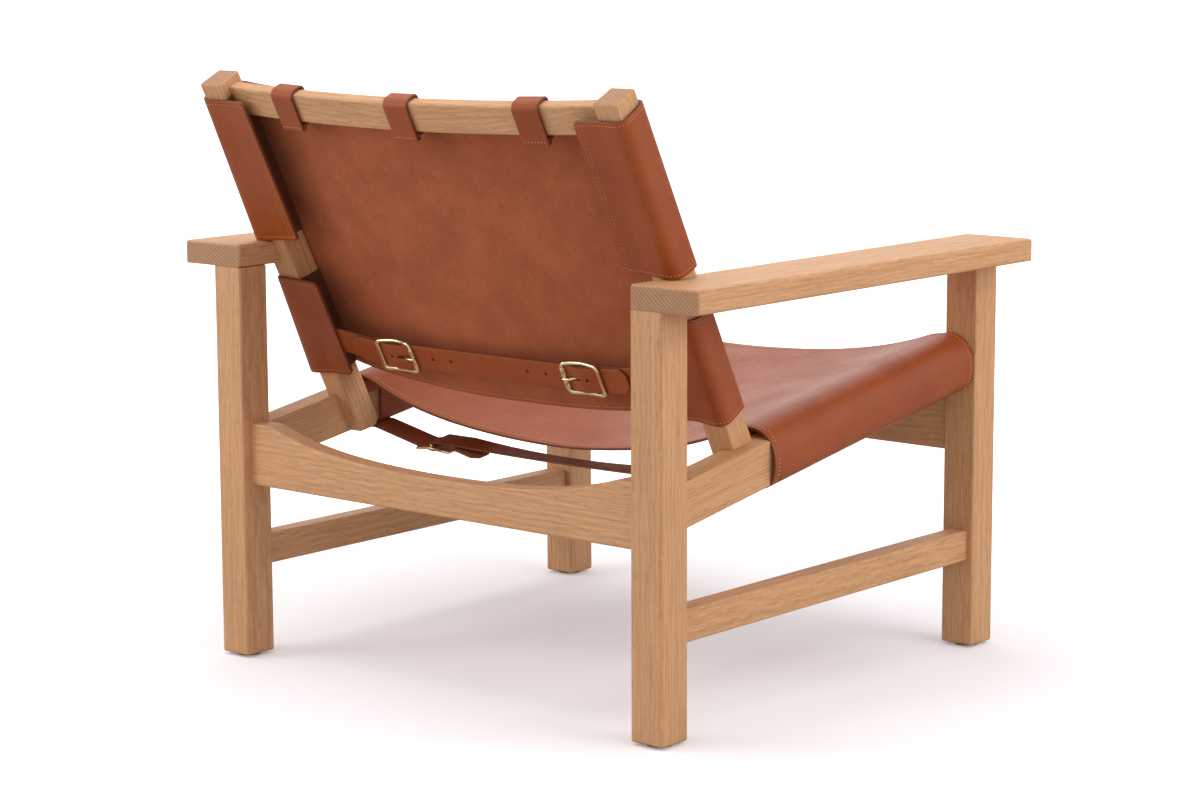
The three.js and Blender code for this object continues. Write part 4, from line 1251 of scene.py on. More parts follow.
class BackShape:
    """The back sling: bowed between the posts, folded round each one and ending in a rear flap."""

    corner_steps = 4
    flat_bend = 0.05
    unevenness = 0.0014
    waves = 9
    noise_level = 0.7

    def __init__(self):
        hides, timber = sizes("hides"), sizes("timber")
        self.offset = hides.air + hides.hide / 2
        self.front = -timber.post_depth / 2 - self.offset
        self.rear = timber.post_depth / 2 + self.offset
        self.outer = POST_HIGH.x + self.offset
        self.flap_edge = POST_LOW.x - hides.flap
        self.cut = LEG_LOW.x - hides.cut_inset
        self.reach = POST_HIGH.x + 2 * hides.hide
        self.top = post_head() - hides.bare_post
        self.matrix = back_frame()
        self.columns = self.section()

    def section(self):
        """The line of the sling seen along the posts, from the left flap to the right one."""
        hides = sizes("hides")
        turns = [math.pi / 2 * step / self.corner_steps for step in range(self.corner_steps + 1)]
        corner = [self.flap_edge + hides.flap_corner * (1 - math.cos(turn)) for turn in turns]
        half = [
            *((x, self.rear, 0) for x in corner),
            (POST_LOW.x + hides.room, self.rear, self.flat_bend),
            (self.outer + hides.room, self.rear + hides.room, hides.corner),
            (self.outer + MM, self.front - MM, hides.front_corner),
            (self.cut, self.front, 0),
            (POST_LOW.x, self.front, 0),
            (0, self.front, 0),
        ]
        wrap = even(fillet(half), HIDE_STEP)
        line = [*wrap, *mirrored(wrap[:-1])]
        for point in line:
            if point.y < 0:
                point.y += bow_at(point.x)
        return line

    def last_left(self):
        """The last column of the left sleeve, at the cut-out's edge."""
        return max(i for i, point in enumerate(self.columns) if point.x > self.cut - MM / 10)

    def level_at(self, height, t):
        """Where a level plane meets the sling, along the posts."""
        lean = sizes("timber").lean
        return (height - ARM_HIGH.z + t * math.sin(lean)) / math.cos(lean)

    def levels(self, column):
        """Lower edge, top of the lower sleeve, bottom of the upper sleeve and upper edge."""
        hides = sizes("hides")
        share = 1 if column.y > 0 else min(1, abs(column.x / self.reach))
        bottom = -hides.below_arm - hides.drop * (1 - share ** 3)
        low = self.level_at(ARM_LOW.z - hides.under_arm, column.y)
        low += self.rise(column, -hides.low_dip, hides.low_rise)
        high = self.level_at(ARM_HIGH.z + hides.over_arm, column.y)
        high += self.rise(column, hides.flap_rise, hides.front_rise)
        top = self.top - hides.top_dip * max(0, 1 - (column.x / POST_LOW.x) ** 2)
        if abs(column.x) > POST_LOW.x or column.y > 0:
            top -= hides.rear_dip * (column.y - self.front) / (self.rear - self.front)
        cut = self.corner_cut(column)
        return bottom + cut, low - cut, high + cut, top - cut

    def corner_cut(self, column):
        """What the rounded corners of a rear flap take off its edges."""
        corner = sizes("hides").flap_corner
        inside = corner - abs(column.x) + self.flap_edge
        if column.y < 0 or inside <= 0:
            return 0
        return corner - math.sqrt(max(0, corner ** 2 - inside ** 2))

    def rise(self, column, at_flap, at_front):
        """How much higher a sleeve's edge is than at the post's rear outer edge."""
        if column.y > self.rear - sizes("hides").hide:
            share = max(0, (POST_HIGH.x - abs(column.x)) / (POST_HIGH.x - self.flap_edge))
            return at_flap * share ** 2
        share = min(1, (self.rear - column.y) / (self.rear - self.front))
        return at_front * share ** 1.5

    def place(self, column, s):
        """A point of the sheet in the chair, gently uneven between the posts."""
        x, t = column
        if t < 0:
            inside = max(0, 1 - (abs(x) / POST_LOW.x) ** 6)
            t += ripple((x, s, self.noise_level), self.unevenness, self.waves) * inside
        room = self.looseness(column, s)
        return self.matrix @ Vector((x + math.copysign(room, x), t + room, s))

    def looseness(self, column, s):
        """Further room of a sleeve, growing towards its lower end and its rear outer edge."""
        across = (abs(column.x) - POST_LOW.x) / (self.outer - POST_LOW.x)
        along = (column.y - self.front) / (self.rear - self.front)
        if across <= 0 or along <= 0:
            return 0
        bottom, low, high, top = self.levels(column)
        down = (top - s) / (top - high) if s > (low + high) / 2 else (low - s) / (low - bottom)
        return sizes("hides").looser * min(1, across) * min(1, along) * min(1, max(0, down))

    def rows(self):
        """Points of the sheet, with the bands that each row of cells lies in."""
        spans = [self.levels(column) for column in self.columns]
        middle = spans[len(spans) // 2]
        counts = [math.ceil((b - a) / ROW_STEP) for a, b in zip(middle, middle[1:])]
        shares = [(band, i / n) for band, n in enumerate(counts) for i in range(n)]
        bands = [band for band, _ in shares]
        shares.append((2, 1.0))
        rows = []
        for band, share in shares:
            row = []
            for column, span in zip(self.columns, spans):
                s = span[band] + (span[band + 1] - span[band]) * share
                row.append(self.place(column, s))
            rows.append(row)
        return rows, bands


def loop_places():
    """Places of the loops across the chair, from left to right."""
    spacing = sizes("hides").loop_spacing
    return spacing, 0.0, -spacing


class CHAIR_OT_back_sling(ChairOperator):
    """One hide with an upper and a lower sleeve round each post, cut out at the arms"""

    bl_idname = "chair.back_sling"
    bl_label = "Back sling"

    def execute(self, context):
        hides = sizes("hides")
        shape = BackShape()
        rows, bands = shape.rows()
        last_left = shape.last_left()
        first_right = len(shape.columns) - 1 - last_left

        def keep(row, column):
            return bands[row] != 1 or last_left <= column < first_right

        sling = grid_hide("back_sling_hide", rows, shape.matrix.to_3x3() @ -Y, keep)
        width = lengths_along(shape.columns)[-1]
        bottom, _, _, top = shape.levels(shape.columns[len(shape.columns) // 2])
        thicken(sling, hides.hide)
        belongs(sling, "leather", "back_sling")
        return {"FINISHED"}


class CHAIR_OT_sleeve_linings(ChairOperator):
    """Linings that double the flaps' edges and close the sleeves round the posts"""

    bl_idname = "chair.sleeve_linings"
    bl_label = "Sleeve linings"
    step = 0.004
    bend = 0.003
    cells = 12
    soft_edge = 0.0003

    def execute(self, context):
        shape = BackShape()
        columns = self.section(shape)
        for side, sign in SIDES:
            for band, ends in self.bands(shape).items():
                levels = [ends(column) for column in columns]
                self.lining(shape, band, side, sign, columns, levels)
        return {"FINISHED"}

    def section(self, shape):
        """The line of a lining seen along the posts: under the flap, then beside the post."""
        hides = sizes("hides")
        under = shape.rear - hides.hide / 2 - hides.lining / 2 - MM / 20
        wall = POST_LOW.x - hides.air - hides.lining / 2
        line = fillet([
            (shape.flap_edge + MM / 2, under, 0),
            (wall, under, self.bend),
            (wall, shape.front + hides.hide / 2 + hides.lining, 0),
        ])
        return even(line, self.step)

    def bands(self, shape):
        """For each lining, its lower and upper end at a column."""
        straps = sizes("straps")
        half = straps.width / 2 + 2 * MM
        passing = straps.end_rise - straps.back_below
        clear = strap_root() + straps.back_depth - straps.skived - MM

        def room(column):
            """Half the gap between the lower linings, wide only where the back strap passes."""
            return half if column.y > clear else MM / 2

        return {
            "upper": lambda c: (shape.levels(c)[2] + MM, shape.levels(c)[3] - MM),
            "lower": lambda c: (passing + room(c), shape.levels(c)[1] - MM),
            "hem": lambda c: (shape.levels(c)[0] + MM, passing - room(c)),
        }

    def lining(self, shape, band, side, sign, columns, levels):
        """One lining between its ends at every column."""
        hides = sizes("hides")
        rows = []
        for step in range(self.cells + 1):
            share = step / self.cells
            rows.append([
                shape.matrix @ Vector((sign * c.x, c.y, low + (high - low) * share))
                for c, (low, high) in zip(columns, levels)
            ])
        inward = shape.matrix.to_3x3() @ Vector((-sign, 0, 0))
        lining = grid_hide(f"sleeve_lining_{band}_{side}", rows, inward)
        width = lengths_along(columns)[-1]
        # The linings get the painted-shade finish, darker than the leather, standing in for the shadow
        # inside the sleeves
        thicken(lining, hides.lining, ("hide_lining", "hide_lining", "hide_edge"), edge=self.soft_edge)
        belongs(lining, "leather")


class LoopShape:
    """A closed loop round the top rail, in the frame of the back at its own place across the chair."""

    step = 0.003
    lap_bend = 0.003
    foot_bend = 0.004
    front_bend = 0.0055
    rear_bend = 0.0088

    def __init__(self):
        hides, timber = sizes("hides"), sizes("timber")
        half = hides.loop_hide / 2
        top = post_head() - timber.top_below
        bottom = top - timber.top_height
        rear = timber.post_depth / 2 - timber.top_setback
        front_line = rear - timber.top_depth - hides.air - half - MM
        self.rear = rear + hides.air + half + MM
        self.end = bottom - hides.loop_foot
        inner_line = self.rear - hides.loop_hide - timber.gap
        crown = top + hides.air + half + MM
        line = fillet([
            (inner_line, self.end, 0),
            (inner_line, self.end + hides.loop_lap, self.lap_bend),
            (front_line, bottom - hides.loop_hide, self.foot_bend),
            (front_line, crown, self.front_bend),
            (self.rear, crown, self.rear_bend),
            (self.rear, self.end, 0),
        ])
        self.line = even(line, self.step)


def loop_matrix(x):
    """Where a loop stands: on the bowed rail, turned square to it."""
    turn = math.atan(-2 * sizes("timber").bow * x / POST_LOW.x ** 2)
    return back_frame() @ Matrix.Translation((x, bow_at(x), 0)) @ Matrix.Rotation(turn, 4, "Z")


class CHAIR_OT_top_loops(ChairOperator):
    """Loops from the back sling over the top rail"""

    bl_idname = "chair.top_loops"
    bl_label = "Top loops"
    cells = 8

    def execute(self, context):
        hides = sizes("hides")
        shape = LoopShape()
        across = [hides.loop_width * (i / self.cells - 0.5) for i in range(self.cells + 1)]
        rows = [[Vector((x, point.x, point.y)) for x in across] for point in shape.line]
        loop = grid_hide("loop", rows, Z)
        thicken(loop, hides.loop_hide)
        for name, x in zip(("left", "middle", "right"), loop_places()):
            twin = copy_of(loop, f"top_loop_hide_{name}", loop_matrix(x))
            belongs(twin, "leather", f"top_loop_{name}")
            flat = (hides.loop_width, lengths_along(shape.line)[-1])
        discard(loop)
        return {"FINISHED"}


# Straps

STRAP_STEP = 0.0025
STRAP_EDGE = 0.0005
HALF_CELLS = 3
TIP_SHARE = 0.5
# Radii of the bends along a strap
TIGHT_BEND = 0.02
BEND = 0.03
WIDE_BEND = 0.05


def level(x):
    """No turn and no drift at any place along a strap."""
    return 0


def strap(name, matrix, line, thickness, tips=(False, False), outward=Z, turn=level, drift=level):
    """A strap along a line, across the frame's Y, with clipped corners at its free tips."""
    half = sizes("straps").width / 2
    points = even(line, STRAP_STEP)
    travelled = lengths_along(points)
    shares = [cell / HALF_CELLS - 1 for cell in range(2 * HALF_CELLS + 1)]
    rows = []
    for point, distance in zip(points, travelled):
        room = half
        for clipped, from_tip in zip(tips, (distance, travelled[-1] - distance)):
            if clipped:
                room = min(room, half * TIP_SHARE + from_tip)
        across = Vector((0, math.cos(turn(point.x)), math.sin(turn(point.x)))) * room
        middle = Vector((point.x, drift(point.x), point.y))
        rows.append([matrix @ (middle + across * share) for share in shares])
    piece = grid_hide(name, rows, matrix.to_3x3() @ outward)
    thicken(piece, thickness, edge=STRAP_EDGE)
    return piece, (2 * half, travelled[-1])


def punch(piece, matrix, holes, depth=0.02):
    """Punches round or long holes, given by their middle, length and width."""
    for middle, span, wide in holes:
        cutter = primitive("cylinder", vertices=20, radius=0.5, depth=depth)
        cutter.matrix_world = matrix @ Matrix.Translation(middle) @ Matrix.Diagonal((span, wide, 1, 1))
        settle(cutter)
        carve(piece, cutter)


class BuckleSpace:
    """Places in a buckle's frame: X towards the free tail, Y across, Z outwards from the bar."""

    fold_steps = 12
    # From the centre bar to both ends of the slot that a prong passes
    prong_slot = (0.0016, 0.0185)
    prong_slot_width = 0.0046
    bar_slot_width = 0.0052
    # Round holes in pitches from the centre bar, towards the strap's root
    hole_places = (-0.25, 2, 3)

    def __init__(self):
        straps = sizes("straps")
        wire = straps.wire / 2
        gap = sizes("timber").gap
        self.fold = wire + gap + straps.skived / 2
        self.crown = self.fold + straps.skived / 2 + 2 * gap + straps.strap / 2
        self.through = straps.arch - wire - gap - straps.strap / 2
        self.outer = self.through - straps.strap / 2 - gap - straps.skived / 2
        self.inner = self.outer - straps.skived - gap
        self.end_bar = straps.buckle_length / 2 - wire
        self.side = straps.buckle_width / 2 - wire

    def folded_end(self):
        """A strap folded round the centre bar, from its sewn inner layer to its outer layer."""
        turn = sizes("straps").turn
        bend = []
        for step in range(self.fold_steps + 1):
            turned = math.radians(270 - 180 * step / self.fold_steps)
            bend.append((self.fold * math.cos(turned), self.fold * math.sin(turned), 0))
        inner = [(turn, self.inner, 0), (self.end_bar, self.inner, 0)]
        outer = [(self.end_bar, self.outer, BEND), (turn, self.outer, WIDE_BEND)]
        return inner + bend + outer

    def bar_slot(self, x, z, sign):
        """The long hole at a fold round a centre bar, which the prong's eye passes."""
        return (x - sign * self.fold, 0, z), 4 * self.fold, self.bar_slot_width

    def holes(self, bar, rootward, height, number):
        """The slot for a prong beside a centre bar, and the first of the strap's round holes."""
        straps = sizes("straps")
        near, far = self.prong_slot
        middle = (bar + rootward * (near + far) / 2, 0.0, height)
        made = [(middle, far - near, self.prong_slot_width)]
        for share in self.hole_places[:number]:
            place = (bar + rootward * share * straps.hole_pitch, 0, height)
            made.append((place, straps.hole, straps.hole))
        return made


def back_buckles():
    """Side, direction of the tail and centre bar's place of each back buckle."""
    straps = sizes("straps")
    edge = POST_LOW.x - sizes("hides").flap
    return ("left", 1, edge - straps.left_inset), ("right", -1, straps.right_inset - edge)


def back_buckle_matrix(sign, x):
    """The frame of a back buckle, with its tail to the left or to the right."""
    straps = sizes("straps")
    basis = Matrix((X * sign, Y.cross(X * sign), Y)).transposed().to_4x4()
    return back_frame() @ Matrix.Translation((x, straps.back_depth, -straps.back_below)) @ basis


def strap_root():
    """How far behind the buckles' bars the ends of the back strap lie, under the flaps."""
    timber, hides, straps = sizes("timber"), sizes("hides"), sizes("straps")
    return timber.post_depth / 2 + hides.air - timber.gap - straps.skived / 2 - straps.back_depth


def strap_reach(bar):
    """From a centre bar of the back strap out to where the strap lies flat under its flap."""
    hides = sizes("hides")
    return POST_LOW.x - hides.flap - abs(bar) - 2 * hides.hide


def strap_rise(out, bar):
    """How much higher the back strap lies, out from a centre bar towards its flap."""
    start = BuckleSpace().end_bar
    share = min(1, max(0, (out - start) / (strap_reach(bar) - start)))
    return sizes("straps").end_rise * share ** 1.3


class CHAIR_OT_back_straps(ChairOperator):
    """The strap that draws the lower back sleeves together"""

    bl_idname = "chair.back_straps"
    bl_label = "Back straps"

    def execute(self, context):
        self.middle()
        for side, sign, bar in back_buckles():
            self.end_strap(side, sign, bar)
        return {"FINISHED"}

    def end_strap(self, side, sign, bar):
        """An end strap, folded round its buckle's centre bar and sewn under a flap."""
        straps, space = sizes("straps"), BuckleSpace()
        under, reach = strap_root(), strap_reach(bar)
        lap = [(reach, under, WIDE_BEND), (reach + straps.lap, under, 0)]
        line = fillet([*space.folded_end(), *lap])
        matrix = back_buckle_matrix(sign, bar)

        def drift(out):
            return -sign * strap_rise(out, bar)

        piece, flat = strap(f"back_strap_hide_{side}", matrix, line, straps.skived, drift=drift)
        punch(piece, matrix, [space.bar_slot(0, 0, 1)])
        belongs(piece, "leather", f"back_strap_{side}")

    def half(self, bar, sign, space):
        """The middle strap over one centre bar, from the root side to the tail's tip."""
        straps = sizes("straps")
        slope = (strap_root() - space.outer) / (strap_reach(bar) - straps.turn)
        tip = space.through + slope * (straps.back_tail - straps.turn)
        return [
            (bar - sign * space.end_bar, space.through, BEND),
            (bar, space.crown, TIGHT_BEND),
            (bar + sign * space.end_bar, space.through, BEND),
            (bar + sign * straps.turn, space.through, WIDE_BEND),
            (bar + sign * straps.back_tail, tip, 0),
        ]

    def middle(self):
        """The strap through both buckles, its tails outwards."""
        straps, space = sizes("straps"), BuckleSpace()
        left, right = (bar for _, _, bar in back_buckles())
        matrix = back_buckle_matrix(1, 0)
        line = fillet([*reversed(self.half(right, -1, space)), *self.half(left, 1, space)])

        def drift(x):
            return -max(strap_rise(x - left, left), strap_rise(right - x, right))

        name = "back_strap_hide_middle"
        piece, flat = strap(name, matrix, line, straps.strap, tips=(True, True), drift=drift)
        for bar, rootward in ((left, -1), (right, 1)):
            punch(piece, matrix, space.holes(bar, rootward, space.through, 3))
        belongs(piece, "leather", "back_strap_middle")


def seat_strap_matrix(end):
    """The frame of a seat strap: X across, Z square to the slope of the rails."""
    straps = sizes("straps")
    shape = SeatShape()
    y = shape.rear - straps.rear_inset if end == "rear" else shape.front + straps.front_inset
    return Matrix.Translation((0, y, seat_top(y))) @ Matrix.Rotation(-math.atan(seat_slope()), 4, "X")


def seat_bar():
    """Place of a seat buckle's centre bar across and below the rails' tops."""
    straps = sizes("straps")
    return LEG_LOW.x - straps.seat_inset, -straps.seat_drop + BuckleSpace().crown


class CHAIR_OT_seat_straps(ChairOperator):
    """Straps under the seat, slack between its sleeves"""

    bl_idname = "chair.seat_straps"
    bl_label = "Seat straps"
    sag_inset = 0.045
    sag_steps = 10

    def execute(self, context):
        for end in ENDS:
            self.middle(end)
            for side, sign in SIDES:
                self.end_strap(end, side, sign)
        return {"FINISHED"}

    def middle(self, end):
        """The middle strap, folded round both centre bars."""
        straps, space = sizes("straps"), BuckleSpace()
        bar_x, bar_z = seat_bar()
        half = [(bar_x - a, bar_z - b, r) for a, b, r in reversed(space.folded_end()[1:])]
        inner = bar_x - self.sag_inset
        sag = []
        for step in range(2 * self.sag_steps + 1):
            share = 1 - step / self.sag_steps
            depth = straps.slack * (1 - share ** 2)
            sag.append((inner * share, bar_z - space.inner - depth, 0))
        line = fillet([*half, *sag, *[(-a, b, r) for a, b, r in reversed(half)]])
        matrix = seat_strap_matrix(end)

        def turn(x):
            return straps.twist * max(0, 1 - (x / inner) ** 2)

        piece, flat = strap(f"seat_strap_hide_{end}_middle", matrix, line, straps.skived, turn=turn)
        punch(piece, matrix, [space.bar_slot(sign * bar_x, bar_z, -sign) for sign in (1, -1)])
        belongs(piece, "leather", f"seat_strap_{end}_middle")

    def end_strap(self, end, side, sign):
        """An end strap from under a sleeve, through its buckle to a drooping tail."""
        straps, hides, space = sizes("straps"), sizes("hides"), BuckleSpace()
        bar_x, bar_z = seat_bar()
        under = bar_z - space.through
        sleeve = -sizes("timber").rail_height - 2 * hides.air - hides.hide - straps.strap / 2
        line = fillet([
            ((RAIL_HIGH.x + RAIL_LOW.x) / 2, sleeve, 0),
            (LEG_LOW.x - hides.hide, sleeve, TIGHT_BEND),
            (bar_x + space.end_bar, under, TIGHT_BEND),
            (bar_x, bar_z - space.crown, TIGHT_BEND),
            (bar_x - space.end_bar, under, TIGHT_BEND),
            (bar_x - straps.turn, under, BEND),
            (bar_x - straps.seat_tail, under - straps.tail_droop, 0),
        ])
        matrix = seat_strap_matrix(end) @ Matrix.Diagonal((sign, 1, 1, 1))
        name = f"seat_strap_hide_{end}_{side}"
        piece, flat = strap(name, matrix, line, straps.strap, tips=(False, True), outward=-Z)
        punch(piece, matrix, space.holes(bar_x, 1, under, 2))
        belongs(piece, "leather", f"seat_strap_{end}_{side}")


# Buckles

BRASS_EASE = 0.0004


def buckle_places():
    """Name and frame of every buckle."""
    for side, sign, x in back_buckles():
        yield "back", side, back_buckle_matrix(sign, x)
    bar_x, bar_z = seat_bar()
    for end in ENDS:
        for side, sign in SIDES:
            along, outward = X * -sign, -Z
            basis = Matrix((along, outward.cross(along), outward)).transposed().to_4x4()
            place = Matrix.Translation((sign * bar_x, 0, bar_z))
            yield "seat", f"{end}_{side}", seat_strap_matrix(end) @ place @ basis


def place_brass(piece, part, moving=False):
    """Copies a part to every buckle, where it rides on the chair or on the buckle's own body."""
    for kind, place, matrix in buckle_places():
        node = f"{kind}_buckle_{part}_{place}"
        twin = copy_of(piece, f"brass_{node}", matrix)
        dress(twin, "brass")
        belongs(twin, "brass", node, body=f"{kind}_prong_{place}" if moving else BODY)
    discard(piece)


class CHAIR_OT_buckle_frames(ChairOperator):
    """Arched centre-bar buckles of rounded brass wire"""

    bl_idname = "chair.buckle_frames"
    bl_label = "Buckle frames"
    corner_segments = 32
    wire_segments = 14
    bar_segments = 20
    cheek_cuts = 17
    end_cuts = 11
    # The stretch of an end bar beside the prong that is thicker
    thick_stretch = (0.0025, 0.0140)
    thicker = 1.35
    flatter = 0.86
    arch_power = 1.7

    def execute(self, context):
        place_brass(join("buckle", self.ring(), self.centre_bar()), "frame")
        return {"FINISHED"}

    def ring(self):
        """A ring drawn out to a rounded oblong, then arched along its cheeks."""
        straps, space = sizes("straps"), BuckleSpace()
        ring = primitive(
            "torus", major_segments=self.corner_segments, minor_segments=self.wire_segments,
            major_radius=straps.corner, minor_radius=straps.ring / 2,
            rotation=(0, 0, math.pi / self.corner_segments),
        )
        sides = ((X, space.end_bar - straps.corner), (Y, space.side - straps.corner))
        with editing(ring):
            for axis, reach in sides:
                for way in (axis, -axis):
                    choose(ring, "VERT", lambda vertex: vertex.co.dot(way) > 0)
                    bpy.ops.transform.translate(value=way * reach)
            for (axis, reach), cuts in zip(sides, (self.cheek_cuts, self.end_cuts)):
                choose(ring, "EDGE", lambda edge: runs_along(edge, axis) and edge.calc_length() > reach)
                bpy.ops.mesh.subdivide(number_cuts=cuts)
            reshape(ring, self.arch)
        take(ring)
        bpy.ops.object.shade_smooth()
        return ring

    def arch(self, place):
        """Arches a point of the ring, swells its cheeks and thickens the prong's end bar."""
        straps, space = sizes("straps"), BuckleSpace()
        near, far = self.thick_stretch
        if place.x < straps.wire - space.end_bar and near < abs(place.y) < far:
            place.x = self.thicker * (place.x + space.end_bar) - space.end_bar
            place.z *= self.thicker
        share = min(1, abs(place.x) / space.end_bar)
        rise = straps.cheek + (straps.arch - straps.cheek) * share ** self.arch_power
        place.z = self.flatter * place.z + rise
        if abs(place.y) > space.side / 2:
            place.y += math.copysign(straps.swell * (1 - share ** 2), place.y)

    def centre_bar(self):
        """The bar that the strap and the prong turn on, let into both cheeks."""
        straps, space = sizes("straps"), BuckleSpace()
        bar = primitive(
            "cylinder", vertices=self.bar_segments, radius=straps.wire / 2, depth=2 * space.side,
            rotation=(math.pi / 2, 0, 0),
        )
        soften(bar, BRASS_EASE, segments=2)
        return bar


class CHAIR_OT_buckle_prongs(ChairOperator):
    """Prongs that turn on the centre bars and rest on the end bars"""

    bl_idname = "chair.buckle_prongs"
    bl_label = "Buckle prongs"
    eye_wall = 0.0016
    eye_gap = 0.0002
    # Corners of the shank's line along and above the centre bar, with their rounding
    root = (-0.0024, 0.0019, 0)
    knee = (-0.0105, 0.0032, 0.006)
    shoulder_x = -0.0192
    shoulder_dip = 0.0006
    shoulder_bend = 0.007
    overhang = 0.0024
    # How much of the bar's thickness lies between its middle and the prong
    bar_share = 0.43
    step = 0.004
    tip_scale = (1, 0.62, 0.55)

    def execute(self, context):
        place_brass(join("prong", self.eye(), self.shank()), "prong", moving=True)
        return {"FINISHED"}

    def eye(self):
        """The eye round the bar."""
        straps = sizes("straps")
        wall = self.eye_wall
        eye = primitive(
            "torus", major_segments=24, minor_segments=10,
            major_radius=straps.wire / 2 + self.eye_gap + wall / 2, minor_radius=wall / 2,
        )
        eye.rotation_euler.x = math.pi / 2
        eye.scale.z = straps.prong / wall
        settle(eye)
        bpy.ops.object.shade_smooth()
        return eye

    def route(self):
        """The line of the shank, from the eye up to the end bar and past it."""
        straps = sizes("straps")
        rest = straps.arch + self.bar_share * straps.wire + straps.prong / 2
        tip = (-BuckleSpace().end_bar - self.overhang, rest, 0)
        shoulder = (self.shoulder_x, rest - self.shoulder_dip, self.shoulder_bend)
        return even(fillet([self.root, self.knee, shoulder, tip], steps=5), self.step)

    def shank(self):
        """The bent shank, drawn out of a disc from the eye to its tip."""
        route = self.route()
        shank = primitive(
            "circle", vertices=12, radius=sizes("straps").prong / 2, fill_type="NGON",
            location=(route[0].x, 0, route[0].y), rotation=(0, math.pi / 2, 0),
        )
        with editing(shank):
            bpy.ops.mesh.select_all(action="SELECT")
            for before, after in zip(route, route[1:]):
                move = (after.x - before.x, 0, after.y - before.y)
                bpy.ops.mesh.extrude_region_move(TRANSFORM_OT_translate={"value": move})
            bpy.ops.transform.resize(value=self.tip_scale)
        face_outwards(shank)
        soften(shank, BRASS_EASE, segments=2)
        return shank


# Sewing


def stitch_row(line):
    """Middles, directions and outward sides of stitches, spread along a line of (point, outward)."""
    points, outs = zip(*line)
    travelled = lengths_along(points)
    total = travelled[-1]
    number = max(1, int(total / sizes("seams").pitch))
    places = []
    index = 0
    for step in range(number):
        at = total * (step + 0.5) / number
        while index < len(points) - 2 and travelled[index + 1] < at:
            index += 1
        share = (at - travelled[index]) / (travelled[index + 1] - travelled[index])
        middle = points[index].lerp(points[index + 1], share)
        along = (points[index + 1] - points[index]).normalized()
        outward = outs[index].lerp(outs[index + 1], share).normalized()
        places.append((middle, along, outward))
    return places


# Where the rings of a stitch lie along it, as shares of its length, and how thick it is there
STITCH_RINGS = ((-0.5, 0.35), (-0.34, 0.9), (0.0, 1.0), (0.34, 0.9), (0.5, 0.35))
STITCH_SIDES = 6
STITCH_PROUD = 0.22
STITCH_DIVE = 1.6


def sew(name, places, size=1.0):
    """One object with all the stitches of a group of seams, each a low rounded grain of thread."""
    seams = sizes("seams")
    thick = seams.thread * size
    vertices, faces = [], []
    for middle, along, outward in places:
        across = along.cross(outward).normalized()
        first = len(vertices)
        for share, girth in STITCH_RINGS:
            sink = STITCH_PROUD - STITCH_DIVE * abs(share) ** 2.4
            centre = middle + along * (share * seams.stitch) + outward * (thick * sink)
            for side in range(STITCH_SIDES):
                turn = 2 * math.pi * side / STITCH_SIDES
                spoke = across * math.cos(turn) + outward * math.sin(turn)
                vertices.append(centre + spoke * (thick / 2 * girth))
        last = len(vertices) - STITCH_SIDES
        for base in range(first, last, STITCH_SIDES):
            for side in range(STITCH_SIDES):
                a, b = base + side, base + (side + 1) % STITCH_SIDES
                faces.append((a, b, b + STITCH_SIDES, a + STITCH_SIDES))
        faces.append(tuple(reversed(range(first, first + STITCH_SIDES))))
        faces.append(tuple(range(last, last + STITCH_SIDES)))
    mesh = bpy.data.meshes.new(name)
    mesh.from_pydata(vertices, [], faces)
    thread = add_object(name, mesh)
    face_outwards(thread)
    bpy.ops.object.shade_smooth()
    dress(thread, "waxed_thread")
    belongs(thread, "leather")


def facing(columns, index):
    """Outward side of a section line that runs from left to right round the front."""
    before = columns[max(0, index - 1)]
    after = columns[min(len(columns) - 1, index + 1)]
    along = (after - before).normalized()
    return Vector((-along.y, along.x))


class CHAIR_OT_back_seams(ChairOperator):
    """Sewing of the back sling's sleeves, flaps and edges"""

    bl_idname = "chair.back_seams"
    bl_label = "Back seams"
    flap_thread = 0.55
    panel_inset = 0.004

    def execute(self, context):
        shape = BackShape()
        sleeve = range(1, shape.last_left() + 1)
        for side, sign in SIDES:
            places = []
            for edge in range(4):
                places += self.across(shape, sleeve, edge, sign)
            sew(f"back_seam_{side}", places)
            sew(f"flap_seam_{side}", self.flap_edges(shape, sign), size=self.flap_thread)
        half = POST_LOW.x - self.panel_inset
        panel = [i for i, p in enumerate(shape.columns) if abs(p.x) < half and p.y < 0]
        places = self.across(shape, panel, 0) + self.across(shape, panel, 0, flesh=True)
        sew("back_seam_edges", places + self.across(shape, panel, 3))
        return {"FINISHED"}

    def across(self, shape, indices, edge, sign=1, flesh=False):
        """A row along one of the sling's four edges, counted from below, on its grain or flesh side."""
        inset = sizes("seams").inset * (-1) ** edge
        half = sizes("hides").hide / 2
        line = []
        for index in indices:
            column = shape.columns[index]
            out = facing(shape.columns, index) * (-1 if flesh else 1)
            normal = shape.matrix.to_3x3() @ Vector((sign * out.x, out.y, 0))
            point = shape.place(column, shape.levels(column)[edge] + inset)
            point.x *= sign
            line.append((point + normal * half, normal))
        return stitch_row(line)

    def flap_edges(self, shape, sign):
        """Two rows along the free edges of a side's flaps."""
        seams = sizes("seams")
        face = shape.rear + sizes("hides").hide / 2
        places = []
        for inset in (seams.inset, seams.inset + seams.twin):
            x = shape.flap_edge + inset
            levels = shape.levels(Vector((x, shape.rear)))
            for low, high in (levels[:2], levels[2:]):
                ends = low + seams.inset, high - seams.inset
                points = [shape.matrix @ Vector((sign * x, face, s)) for s in ends]
                places += stitch_row([(point, shape.matrix.to_3x3() @ Y) for point in points])
        return places


